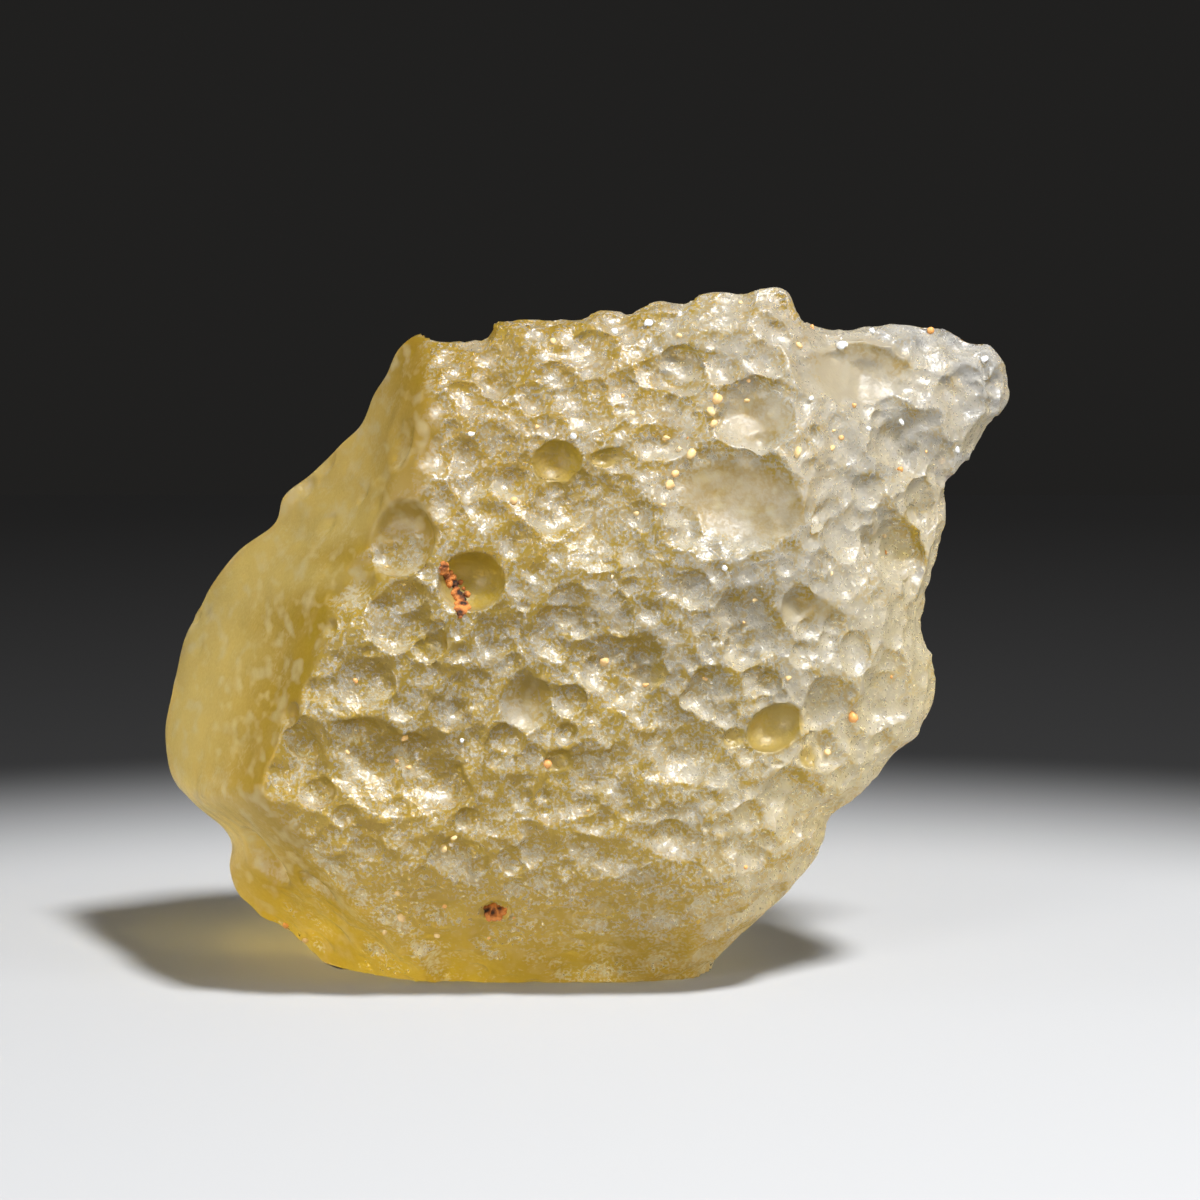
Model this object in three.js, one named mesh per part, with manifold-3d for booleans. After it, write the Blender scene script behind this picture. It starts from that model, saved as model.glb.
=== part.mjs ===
// Tektite: a lump of natural pale yellow impact glass, blasted by wind-blown sand until its skin
// is covered with bowls and pits. One solid of glass, with dry soil lodged in two of its pits.
//
// Millimetres, +Z up. The dimpled main face looks along -Y. The origin is under the middle of the
// stone's box, on the surface that the stone's flat spot rests on.

import * as THREE from 'three';
import { mergeVertices } from 'three/addons/utils/BufferGeometryUtils.js';
import Module from 'manifold-3d';

const wasm = await Module();
wasm.setup();

// ---------------------------------------------------------------- layout

// The forms are laid out as they appear from in front: "across" and "up" are millimetres on a
// screen through the aim point, looked at from EYE_DISTANCE away and EYE_TILT above level.
const EYE_DISTANCE = 400;
const EYE_TILT = THREE.MathUtils.degToRad(9);
const AIM = { x: 0.75, z: 22 };
// Middle of the stone's box in this layout, which is brought over the origin at the end.
const BOX_MIDDLE = { x: -0.153, y: -0.548 };

// Place at depth y that appears at (across, up).
function placeAtDepth(across, up, y) {
  const rise = up / EYE_DISTANCE;
  const reach = (y + EYE_DISTANCE * Math.cos(EYE_TILT)) / (Math.cos(EYE_TILT) + rise * Math.sin(EYE_TILT));
  return new THREE.Vector3(
    AIM.x + (across * reach) / EYE_DISTANCE,
    y,
    AIM.z + (EYE_DISTANCE - reach) * Math.sin(EYE_TILT) + rise * reach * Math.cos(EYE_TILT),
  );
}

// ---------------------------------------------------------------- the stone's outline

// The rim where the front meets the back, clockwise from the upper left corner, as
// [across, up, y]. It runs on below the ground, which cuts it off flat.
const RIM = [
  // top edge, rising in steps to the peak
  [-12.8, 13.6, -1.5], [-12.1, 15.1, -2], [-10.8, 16.0, -2.5], [-9.0, 15.8, -3], [-7.2, 16.0, -3],
  [-6.7, 16.6, -3.5], [-5.8, 16.9, -4], [-3.0, 16.9, -4], [-0.1, 17.4, -4], [1.8, 17.3, -4],
  [3.4, 17.9, -4], [5.1, 17.8, -4], [6.1, 18.4, -4], [8.7, 18.5, -4], [10.2, 18.8, -4],
  [11.3, 18.5, -4],
  // saddle and upper right lobe
  [11.9, 17.3, -4], [13.2, 16.7, -3], [14.7, 16.1, -2], [16.2, 16.4, -1], [18.3, 16.6, 0],
  [20.7, 16.3, 0.5], [21.7, 15.8, 1], [23.1, 15.5, 1], [24.2, 14.3, 1], [24.5, 13.2, 1],
  [24.4, 11.9, 1],
  // right edge, down to the ground
  [23.2, 10.3, 0.5], [22.1, 8.4, -0.5], [20.8, 6.8, -1.5], [20.9, 4.9, -2], [20.5, 3.0, -2.4],
  [19.9, 1.3, -2.9], [19.4, -1.4, -3], [20.1, -3.0, -3], [20.0, -5.7, -3.5], [19.2, -7.8, -4],
  [17.6, -9.1, -4], [16.0, -11.3, -4], [13.9, -12.7, -4.5], [13.3, -14.5, -4.5], [12.2, -16.1, -4.5],
  [10.8, -17.8, -4.5], [8.5, -20.1, -4], [7.0, -21.9, -3.5], [5.4, -23.1, -3],
  // below the ground
  [2.4, -24.3, -3], [-2.4, -24.5, -3], [-7.2, -24.5, -3], [-12.0, -24.2, -3], [-15.3, -23.4, -3],
  // lower left corner and the scoop
  [-17.0, -21.4, -0.5], [-18.9, -19.9, 0], [-20.5, -18.8, 0.5], [-21.7, -17.6, 1], [-22.2, -16.1, 1],
  [-22.1, -14.6, 1.5], [-22.7, -13.4, 2],
  // left shoulder
  [-23.8, -12.4, 2.5], [-25.3, -10.9, 3], [-25.9, -8.7, 4], [-25.8, -5.8, 5], [-24.8, -2.1, 6],
  [-23.3, 0.7, 5.8], [-21.6, 3.0, 4.8], [-19.6, 4.6, 3.2], [-19.0, 6.2, 2.5], [-17.3, 7.5, 1.7],
  [-15.4, 9.4, 0.5], [-14.3, 10.6, 0], [-13.6, 12.3, -0.5],
];

// Middle of the rim, from which every point of it is in plain sight.
const HUB = { x: 0, z: 22 };

const RIM_STEPS = 720;

// Rim radius and depth at even angles round the hub.
const rimTable = (() => {
  const corners = RIM.map(([across, up, y]) => placeAtDepth(across, up, y));
  const curve = new THREE.CatmullRomCurve3(corners, true, 'catmullrom', 0.5);
  const samples = curve.getPoints(RIM_STEPS * 2).slice(0, -1).map((point) => ({
    angle: Math.atan2(point.z - HUB.z, point.x - HUB.x),
    radius: Math.hypot(point.x - HUB.x, point.z - HUB.z),
    depth: point.y,
  }));
  samples.sort((a, b) => a.angle - b.angle);
  const first = { ...samples[0], angle: samples[0].angle + 2 * Math.PI };
  const last = { ...samples.at(-1), angle: samples.at(-1).angle - 2 * Math.PI };
  return [last, ...samples, first];
})();

// Rim radius and depth in the direction of an angle, between the two nearest samples.
function rimAt(angle) {
  let low = 0;
  let high = rimTable.length - 1;
  while (high - low > 1) {
    const middle = (low + high) >> 1;
    if (rimTable[middle].angle <= angle) low = middle;
    else high = middle;
  }
  const a = rimTable[low];
  const b = rimTable[high];
  const t = (angle - a.angle) / (b.angle - a.angle || 1);
  return {
    radius: THREE.MathUtils.lerp(a.radius, b.radius, t),
    depth: THREE.MathUtils.lerp(a.depth, b.depth, t),
  };
}

// ---------------------------------------------------------------- the big facets

// Each facet is a plane through the point (x, y, z), whose depth y grows by leanX for each
// millimetre to the right and by leanZ for each millimetre up.
const FRONT_FACETS = [
  { name: 'main face', x: 0, y: -12.6, z: 16, leanX: 0.04, leanZ: 0.1 },
  { name: 'left shoulder', x: -18.5, y: -13.2, z: 14, leanX: -2.1, leanZ: 1.1 },
  { name: 'lower left corner', x: -17.3, y: -13.2, z: 11, leanX: -1.15, leanZ: -1.2 },
  { name: 'top of the face', x: 0, y: -9.9, z: 30, leanX: 0, leanZ: 0.35 },
  { name: 'lower bevel', x: 0, y: -12.4, z: 6.5, leanX: 0, leanZ: -0.75 },
  { name: 'right side', x: 12, y: -11.5, z: 20, leanX: 0.45, leanZ: 0 },
  { name: 'upper right lobe', x: 13, y: -8.5, z: 33, leanX: 0.5, leanZ: 0.25 },
];
const BACK_FACETS = [
  { name: 'back face', x: 0, y: 12.5, z: 16, leanX: -0.05, leanZ: -0.12 },
  { name: 'upper back', x: 0, y: 9, z: 27, leanX: 0, leanZ: -0.75 },
  { name: 'left back', x: -14, y: 11.5, z: 20, leanX: 0.45, leanZ: 0 },
  { name: 'right back', x: 9, y: 11, z: 20, leanX: -0.5, leanZ: 0 },
  { name: 'foot of the back', x: 0, y: 9, z: 7, leanX: 0, leanZ: 0.5 },
  { name: 'lower right back', x: 2, y: 11.5, z: 14, leanX: -0.45, leanZ: 0.45 },
];
const FACET_ROUNDING = { front: 0.55, back: 0.8 };

// The lobe, at the right of the face, and the inner band of the shoulder, at its left, step back from
// it along a crease that runs down from (x, z), leaning to the right. side is 1 where the right of the
// crease is further back and -1 where the left is. A step fades out downwards, between two heights.
const STEPS = [
  { side: 1, x: 12.9, z: 38, lean: 0.1, back: 1.2, width: 2.6, fadeFrom: 21, fadeTo: 29 },
  { side: -1, x: -12.2, z: 38, lean: 0.06, back: 1.9, width: 4.2, fadeFrom: 22.5, fadeTo: 27 },
];

function steppedBack(x, z) {
  const { smoothstep } = THREE.MathUtils;
  return STEPS.reduce((total, step) => {
    const crease = step.x + step.lean * (step.z - z);
    const past = smoothstep(step.side * (x - crease), -step.width / 2, step.width / 2);
    return total + step.back * past * smoothstep(z, step.fadeFrom, step.fadeTo);
  }, 0);
}

// The two halves turn into the rim in a rounded edge: the higher the power, the tighter.
const RIM_POWER = { front: 12, back: 6 };
const LEAST_HALF_THICKNESS = 0.5;
const THIN_ROUNDING = 0.4;

// The largest of some values, rounded where two of them meet.
function softLargest(values, rounding) {
  const top = Math.max(...values);
  const sum = values.reduce((total, value) => total + Math.exp((value - top) / rounding), 0);
  return top + rounding * Math.log(sum);
}

const facetDepth = (facet, x, z) => facet.y + facet.leanX * (x - facet.x) + facet.leanZ * (z - facet.z);

// Depth y of the stone's skin over (x, z): side is 'front' or 'back'.
function skinDepth(side, x, z) {
  const rim = rimAt(Math.atan2(z - HUB.z, x - HUB.x));
  const outward = Math.min(Math.hypot(x - HUB.x, z - HUB.z) / rim.radius, 1);
  const middle = rim.depth * outward ** 2;
  const facets = side === 'front' ? FRONT_FACETS : BACK_FACETS;
  const sign = side === 'front' ? -1 : 1;
  const depths = facets.map((facet) => -sign * facetDepth(facet, x, z));
  const reach = -softLargest(depths, FACET_ROUNDING[side]) - (side === 'front' ? steppedBack(x, z) : 0);
  const bulge = softLargest([reach - sign * middle, LEAST_HALF_THICKNESS], THIN_ROUNDING);
  return middle + sign * bulge * Math.sqrt(1 - outward ** RIM_POWER[side]);
}

// Point of the skin that appears at (across, up) from in front, found by closing in on it.
const CLOSING_ROUNDS = 8;

function frontPoint(across, up) {
  let point = placeAtDepth(across, up, FRONT_FACETS[0].y);
  for (let round = 0; round < CLOSING_ROUNDS; round += 1) {
    point = placeAtDepth(across, up, skinDepth('front', point.x, point.z));
  }
  return point;
}

// Outward direction of the skin over (x, z), from its slope over a short step.
const SLOPE_STEP = 0.4;

function outwardAt(side, x, z) {
  const slope = (dx, dz) => (
    (skinDepth(side, x + dx, z + dz) - skinDepth(side, x - dx, z - dz)) / (2 * SLOPE_STEP)
  );
  const slopeX = slope(SLOPE_STEP, 0);
  const slopeZ = slope(0, SLOPE_STEP);
  const sign = side === 'front' ? 1 : -1;
  return new THREE.Vector3(sign * slopeX, -sign, sign * slopeZ).normalize();
}

// ---------------------------------------------------------------- bowls and pits

// Hollows of the front, as [across, up, half-width, half-height, depth, turn in degrees].
const FRONT_BOWLS = [
  // smooth saddle between the peak and the lobe, and the lobe itself
  [15.9, 13.6, 4.0, 2.6, 1.2, -5], [21.8, 12.4, 1.5, 1.9, 0.5, 0],
  [18.4, 8.9, 2.2, 2.0, 0.6, 0], [18.2, 3.2, 1.7, 1.4, 0.5, 0],
  // three wide bowls under the peak
  [9.4, 11.3, 2.8, 2.3, 1.1, 0], [8.1, 6.3, 4.7, 3.2, 1.4, -10], [-0.1, 5.1, 3.8, 3.0, 1.0, -30],
  // under the top edge
  [-0.5, 14.9, 1.6, 1.3, 0.45, 0], [-5.6, 14.0, 1.8, 1.4, 0.4, -10], [-7.6, 8.2, 1.8, 1.5, 0.45, 0],
  [4.9, 14.2, 1.9, 1.5, 0.45, 0],
  // beside the left ridge
  [-11.9, 9.4, 1.3, 1.7, 0.4, -20], [-11.7, 3.9, 2.2, 1.8, 0.7, 0], [-14.7, 1.2, 1.7, 1.7, 0.6, 0],
  [-12.6, -1.2, 1.8, 1.7, 0.6, 0], [-14.3, -5.0, 1.9, 1.8, 0.6, 0], [-18.0, -8.9, 1.4, 1.4, 0.5, 0],
  // lower left of the face
  [-13.9, -9.7, 2.3, 2.5, 0.8, 0], [-10.0, -10.3, 1.9, 1.8, 0.6, 0], [-8.4, -15.5, 1.8, 1.6, 0.6, 0],
  [-3.3, -15.8, 1.6, 1.3, 0.5, 0],
  // middle of the face
  [-6.6, -2.9, 1.7, 1.9, 0.5, 0], [-3.3, -2.6, 1.4, 1.3, 0.45, 0], [-4.4, -6.2, 1.6, 1.8, 0.8, 0],
  [-1.6, -11.4, 2.4, 1.8, 0.5, 15], [1.7, -4.2, 1.4, 1.3, 0.5, 0], [4.9, -9.6, 1.9, 1.6, 0.4, 0],
  // lower right
  [9.2, -1.6, 1.4, 1.2, 0.4, 0], [13.1, -1.3, 2.2, 1.3, 0.5, 10], [13.2, -6.9, 1.7, 1.1, 0.6, 20],
  [17.0, -6.4, 1.7, 1.0, 0.5, 35], [8.5, -13.6, 1.6, 1.3, 0.4, 0],
  // scoop at the lower left corner
  [-20.3, -15.6, 2.3, 2.4, 1.7, 0],
];

const UPPER_SOIL_PIT = [-7.7, 1.1, 1.95, 1.75, 1.8, 0];
const LOWER_SOIL_PIT = [-6.3, -18.7, 0.95, 0.8, 0.9, 0];

// Deep pits with crisp rims: bubbles that the sand has opened.
const FRONT_PITS = [
  UPPER_SOIL_PIT, LOWER_SOIL_PIT,
  [-2.6, 8.2, 1.5, 1.4, 1.3, 0], [0.4, 8.5, 1.1, 0.6, 0.6, 10], [3.2, -4.4, 0.85, 0.8, 0.8, 0],
  [-8.5, -11.6, 0.55, 0.5, 0.5, 0], [-2.4, -9.8, 1.0, 0.8, 0.8, 0], [10.5, -7.7, 1.8, 1.35, 1.5, 30],
  [8.1, -8.3, 0.8, 0.6, 0.6, 15], [12.7, -9.4, 0.75, 0.7, 0.6, 0], [19.0, 5.0, 0.9, 0.5, 0.5, 0],
  [0.4, -18.7, 0.45, 0.45, 0.5, 0], [-10.3, -2.5, 0.9, 0.5, 0.5, 50],
];

// Soil lodged in the two pits: a lump's place from the pit's middle, how far its own middle is sunk,
// its half-sizes and its turn. It fills the pit's ball as far as a thin gap to the glass.
const UPPER_SOIL = { aside: -1.15, above: -0.1, wide: 0.55, tall: 1.35, deep: 0.85, sunk: 0.7, turn: 20 };
const LOWER_SOIL = { aside: 0, above: 0, wide: 0.75, tall: 0.6, deep: 0.5, sunk: 0.35, turn: 0 };
const SOIL_GAP = 0.27;

// The back is as blasted: bowls along a spiral over it, small ones more often. Depth and roundness
// are shares of a bowl's half-width.
const BACK_BOWL_COUNT = 18;
const BACK_BOWL_SIZE = { least: 1.2, most: 3.4 };
const BACK_BOWL_DEPTH = { least: 0.22, most: 0.36 };
const BACK_BOWL_ROUNDNESS = { least: 0.75, most: 1 };
const BACK_SPREAD = 0.9;
const GOLDEN_ANGLE = Math.PI * (3 - Math.sqrt(5));
// The higher the power, the more of the back's bowls are small.
const BACK_SMALL_ONES = 1.5;
const BACK_SEED = 7;

// A repeatable run of numbers between 0 and 1: each state is the last one times MULTIPLIER.
const MULTIPLIER = 48271;
const MODULUS = 2 ** 31 - 1;

function seededRandom(seed) {
  let state = seed;
  return () => {
    state = (state * MULTIPLIER) % MODULUS;
    return state / MODULUS;
  };
}

// A hollow of the front, set on the skin.
function frontHollow([across, up, wide, tall, deep, turn]) {
  const at = frontPoint(across, up);
  return { at, outward: outwardAt('front', at.x, at.z), wide, tall, deep, turn };
}

// An angle brought between -PI and PI.
const wrapped = (angle) => Math.atan2(Math.sin(angle), Math.cos(angle));

function backHollows() {
  const random = seededRandom(BACK_SEED);
  const between = ({ least, most }, share) => THREE.MathUtils.lerp(least, most, share);
  return Array.from({ length: BACK_BOWL_COUNT }, (_, i) => {
    const angle = i * GOLDEN_ANGLE;
    const reach = BACK_SPREAD * Math.sqrt((i + 0.5) / BACK_BOWL_COUNT) * rimAt(wrapped(angle)).radius;
    const x = HUB.x + reach * Math.cos(angle);
    const z = HUB.z + reach * Math.sin(angle);
    const at = new THREE.Vector3(x, skinDepth('back', x, z), z);
    const wide = between(BACK_BOWL_SIZE, random() ** BACK_SMALL_ONES);
    const tall = wide * between(BACK_BOWL_ROUNDNESS, random());
    const deep = wide * between(BACK_BOWL_DEPTH, random());
    return { at, outward: outwardAt('back', x, z), wide, tall, deep, turn: 180 * random() };
  });
}

// Radius of the ball that leaves a hollow this wide and deep in a flat face.
const ballRadius = (wide, deep) => (wide ** 2 + deep ** 2) / (2 * deep);

// How a hollow lies: its own axes, its ball, and the height of the ball's middle over the skin.
function frameOf({ at, outward, wide, tall, deep, turn }) {
  const size = Math.sqrt(wide * tall);
  const ball = ballRadius(size, deep);
  const right = new THREE.Vector3(1, 0, 0).addScaledVector(outward, -outward.x).normalize();
  right.applyAxisAngle(outward, THREE.MathUtils.degToRad(turn));
  const forward = new THREE.Vector3().crossVectors(right, outward);
  const toWorld = new THREE.Matrix4().makeBasis(right, outward, forward).setPosition(at);
  toWorld.scale(new THREE.Vector3(wide / size, 1, tall / size));
  return { size, ball, middle: ball - deep, toWorld };
}

// Larger and deeper hollows get more sides and rings.
const SIDES = { least: 6, perSize: 2.6 };
const RINGS = { least: 2, perDepth: 0.55, perSize: 0.2 };
const HEADROOM = 1.4;
// A shaft rises from the ball a little above the skin, so that the ball's own edge is the rim.
const SHAFT_START = 0.85;

// The cutter of a hollow: the ball's lower part, and a straight shaft above it.
function cutter(hollow) {
  const { size, ball, middle, toWorld } = frameOf(hollow);
  const shaftAngle = Math.acos(SHAFT_START * (middle / ball));
  const rings = Math.round(RINGS.least + RINGS.perDepth * hollow.deep + RINGS.perSize * size);
  const sides = Math.round(SIDES.least + SIDES.perSize * size);
  const profile = Array.from({ length: rings + 1 }, (_, i) => {
    const angle = (shaftAngle * i) / rings;
    return new THREE.Vector2(ball * Math.sin(angle), middle - ball * Math.cos(angle));
  });
  profile.push(new THREE.Vector2(profile.at(-1).x, HEADROOM), new THREE.Vector2(0, HEADROOM));
  return solidFrom(new THREE.LatheGeometry(profile, sides).applyMatrix4(toWorld));
}

// ---------------------------------------------------------------- solids

// A mesh whose vertices within a distance are one, without the triangles that this flattens: those
// with two corners in one place, and those that now lie back to back on the same three corners.
function merged(geometry, distance) {
  const bare = new THREE.BufferGeometry();
  bare.setAttribute('position', geometry.getAttribute('position'));
  bare.setIndex(geometry.index);
  const whole = mergeVertices(bare, distance);
  const standing = new Map();
  for (let i = 0; i < whole.index.count; i += 3) {
    const corners = Array.from(whole.index.array.slice(i, i + 3));
    const key = [...corners].sort((a, b) => a - b).join(' ');
    if (standing.has(key)) standing.delete(key);
    else if (new Set(corners).size === 3) standing.set(key, corners);
  }
  return whole.setIndex([...standing.values()].flat());
}

// A closed mesh as a solid that can be cut.
const SAME_PLACE = 1e-5;

function solidFrom(geometry) {
  const mesh = merged(geometry, SAME_PLACE);
  return new wasm.Manifold(new wasm.Mesh({
    numProp: 3,
    vertProperties: new Float32Array(mesh.getAttribute('position').array),
    triVerts: new Uint32Array(mesh.index.array),
  }));
}

// A cut solid as a mesh, without the tiny edges that the cuts leave where they nearly meet.
const SMALLEST_EDGE = 0.002;

function geometryFrom(solid) {
  const { vertProperties, triVerts } = solid.getMesh();
  const geometry = new THREE.BufferGeometry();
  geometry.setAttribute('position', new THREE.BufferAttribute(new Float32Array(vertProperties), 3));
  geometry.setIndex(new THREE.BufferAttribute(new Uint32Array(triVerts), 1));
  const mesh = merged(geometry, SMALLEST_EDGE);
  mesh.computeVertexNormals();
  return mesh;
}

const SKIN_DETAIL = 12;
// Share by which the sphere's points are drawn together towards the front, which is the finer side.
const FRONT_DRAW = 0.08;
// Block of ground under the stone, larger than the stone.
const GROUND_SIZE = 60;

// Moves a direction towards -Y so that an even sphere stays smooth and gets finer in front.
function drawnToFront({ x, y, z }) {
  const shrink = Math.sqrt(1 - FRONT_DRAW ** 2) / (1 - FRONT_DRAW * y);
  return new THREE.Vector3(x * shrink, (y - FRONT_DRAW) / (1 - FRONT_DRAW * y), z * shrink);
}

// A sphere's points, each carried along to the stone's skin.
function lumpSolid() {
  const sphere = new THREE.IcosahedronGeometry(1, SKIN_DETAIL);
  sphere.deleteAttribute('normal');
  sphere.deleteAttribute('uv');
  const skin = mergeVertices(sphere, SAME_PLACE);
  const points = skin.getAttribute('position');
  for (let i = 0; i < points.count; i += 1) {
    const direction = drawnToFront(new THREE.Vector3().fromBufferAttribute(points, i).normalize());
    const angle = Math.atan2(direction.z, direction.x);
    const reach = Math.hypot(direction.x, direction.z) * rimAt(angle).radius;
    const x = HUB.x + reach * Math.cos(angle);
    const z = HUB.z + reach * Math.sin(angle);
    points.setXYZ(i, x, skinDepth(direction.y < 0 ? 'front' : 'back', x, z), z);
  }
  return solidFrom(skin);
}

// The lump with its hollows cut, and the ground cut off flat.
function glassSolid() {
  const ground = new THREE.BoxGeometry(GROUND_SIZE, GROUND_SIZE, GROUND_SIZE);
  ground.translate(0, 0, -GROUND_SIZE / 2);
  const hollows = [...FRONT_BOWLS, ...FRONT_PITS].map(frontHollow).concat(backHollows());
  const blasted = hollows.reduce((stone, hollow) => stone.subtract(cutter(hollow)), lumpSolid());
  return blasted.subtract(solidFrom(ground));
}

const SOIL_DETAIL = 2;

// A lump of soil that keeps to its pit.
function soilSolid(pit, soil) {
  const { ball, middle, toWorld } = frameOf(frontHollow(pit));
  const room = new THREE.IcosahedronGeometry(ball - SOIL_GAP, SOIL_DETAIL).translate(0, middle, 0);
  const lump = new THREE.IcosahedronGeometry(1, SOIL_DETAIL).scale(soil.wide, soil.deep, soil.tall);
  lump.rotateY(THREE.MathUtils.degToRad(soil.turn)).translate(soil.aside, -soil.sunk, -soil.above);
  return solidFrom(room.applyMatrix4(toWorld)).intersect(solidFrom(lump.applyMatrix4(toWorld)));
}

const glass = new THREE.MeshStandardMaterial({ color: 0xcfc48e, roughness: 0.45, metalness: 0 });
const soil = new THREE.MeshStandardMaterial({ color: 0x8a4f25, roughness: 0.95, metalness: 0 });

function namedMesh(name, solid, material) {
  const mesh = new THREE.Mesh(geometryFrom(solid), material);
  mesh.name = name;
  return mesh;
}

const tektite = new THREE.Group();
tektite.add(
  namedMesh('tektite_glass', glassSolid(), glass),
  namedMesh('soil_in_upper_pit', soilSolid(UPPER_SOIL_PIT, UPPER_SOIL), soil),
  namedMesh('soil_in_lower_pit', soilSolid(LOWER_SOIL_PIT, LOWER_SOIL), soil),
);
tektite.position.set(-BOX_MIDDLE.x, -BOX_MIDDLE.y, 0);

export default tektite;
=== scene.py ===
"""The looks of the tektite: sandblasted glass, soil lodged in two pits, and sand stuck to the face.

The stone's own layout is in millimetres, as in the part's source, with the box's middle at BOX_MIDDLE.
to_frame() takes it to the frame's metres.
"""

import math

import bmesh
import bpy
import numpy as np
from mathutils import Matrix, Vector, kdtree, noise


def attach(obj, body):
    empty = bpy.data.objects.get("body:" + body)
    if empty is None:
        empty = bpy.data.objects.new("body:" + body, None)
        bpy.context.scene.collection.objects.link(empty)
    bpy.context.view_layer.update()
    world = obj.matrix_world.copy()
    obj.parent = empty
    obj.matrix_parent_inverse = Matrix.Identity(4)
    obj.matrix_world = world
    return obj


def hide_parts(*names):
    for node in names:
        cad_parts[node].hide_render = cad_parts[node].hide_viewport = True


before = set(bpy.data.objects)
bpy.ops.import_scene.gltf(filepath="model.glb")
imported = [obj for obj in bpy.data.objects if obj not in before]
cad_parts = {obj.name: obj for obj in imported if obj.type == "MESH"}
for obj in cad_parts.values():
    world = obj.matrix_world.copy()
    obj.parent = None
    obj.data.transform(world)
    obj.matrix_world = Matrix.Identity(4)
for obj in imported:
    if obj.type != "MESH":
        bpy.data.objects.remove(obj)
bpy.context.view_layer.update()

MM = 0.001
SEED = 11
rng = np.random.default_rng(SEED)

# -------- layout

# The forms are laid out as they appear from in front: "across" and "up" are millimetres on a screen
# through the aim point, looked at from EYE_DISTANCE away and EYE_TILT above level.
EYE_DISTANCE = 400.0
EYE_TILT = math.radians(9)
AIM = np.array((0.75, 0.0, 22.0))
BOX_MIDDLE = np.array((-0.153, -0.548, 0.0))

VIEW_RIGHT = np.array((1.0, 0.0, 0.0))
VIEW_AHEAD = np.array((0.0, math.cos(EYE_TILT), -math.sin(EYE_TILT)))
VIEW_UP = np.array((0.0, math.sin(EYE_TILT), math.cos(EYE_TILT)))
EYE = AIM - EYE_DISTANCE * VIEW_AHEAD


def to_frame(points):
    """Layout millimetres to the frame's metres."""
    return (np.asarray(points) - BOX_MIDDLE) * MM


def place_at_depth(across, up, y):
    """The place at depth y that appears at (across, up)."""
    rise = up / EYE_DISTANCE
    reach = (y - EYE[1]) / (math.cos(EYE_TILT) + rise * math.sin(EYE_TILT))
    return EYE + reach * (VIEW_AHEAD + rise * VIEW_UP + across / EYE_DISTANCE * VIEW_RIGHT)


def seen_at(points):
    """Where points appear: across and up."""
    ray = points - EYE
    depth = ray @ VIEW_AHEAD
    return EYE_DISTANCE * np.stack((ray @ VIEW_RIGHT, ray @ VIEW_UP), 1) / depth[:, None]


# -------- the stone's skin, as in the solids

# The rim where the front meets the back, clockwise from the upper left corner: across, up, y.
RIM = (
    # top edge, rising in steps to the peak
    (-12.8, 13.6, -1.5), (-12.1, 15.1, -2), (-10.8, 16.0, -2.5), (-9.0, 15.8, -3), (-7.2, 16.0, -3),
    (-6.7, 16.6, -3.5), (-5.8, 16.9, -4), (-3.0, 16.9, -4), (-0.1, 17.4, -4), (1.8, 17.3, -4),
    (3.4, 17.9, -4), (5.1, 17.8, -4), (6.1, 18.4, -4), (8.7, 18.5, -4), (10.2, 18.8, -4),
    (11.3, 18.5, -4),
    # saddle and upper right lobe
    (11.9, 17.3, -4), (13.2, 16.7, -3), (14.7, 16.1, -2), (16.2, 16.4, -1), (18.3, 16.6, 0),
    (20.7, 16.3, 0.5), (21.7, 15.8, 1), (23.1, 15.5, 1), (24.2, 14.3, 1), (24.5, 13.2, 1),
    (24.4, 11.9, 1),
    # right edge, down to the ground
    (23.2, 10.3, 0.5), (22.1, 8.4, -0.5), (20.8, 6.8, -1.5), (20.9, 4.9, -2), (20.5, 3.0, -2.4),
    (19.9, 1.3, -2.9), (19.4, -1.4, -3), (20.1, -3.0, -3), (20.0, -5.7, -3.5), (19.2, -7.8, -4),
    (17.6, -9.1, -4), (16.0, -11.3, -4), (13.9, -12.7, -4.5), (13.3, -14.5, -4.5), (12.2, -16.1, -4.5),
    (10.8, -17.8, -4.5), (8.5, -20.1, -4), (7.0, -21.9, -3.5), (5.4, -23.1, -3),
    # below the ground
    (2.4, -24.3, -3), (-2.4, -24.5, -3), (-7.2, -24.5, -3), (-12.0, -24.2, -3), (-15.3, -23.4, -3),
    # lower left corner and the scoop
    (-17.0, -21.4, -0.5), (-18.9, -19.9, 0), (-20.5, -18.8, 0.5), (-21.7, -17.6, 1), (-22.2, -16.1, 1),
    (-22.1, -14.6, 1.5), (-22.7, -13.4, 2),
    # left shoulder
    (-23.8, -12.4, 2.5), (-25.3, -10.9, 3), (-25.9, -8.7, 4), (-25.8, -5.8, 5), (-24.8, -2.1, 6),
    (-23.3, 0.7, 5.8), (-21.6, 3.0, 4.8), (-19.6, 4.6, 3.2), (-19.0, 6.2, 2.5), (-17.3, 7.5, 1.7),
    (-15.4, 9.4, 0.5), (-14.3, 10.6, 0), (-13.6, 12.3, -0.5),
)
# The rim's angles are measured round the hub, and its curve has so many steps to each corner.
HUB_X = 0.0
HUB_Z = 22.0
RIM_STEPS = 20

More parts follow.
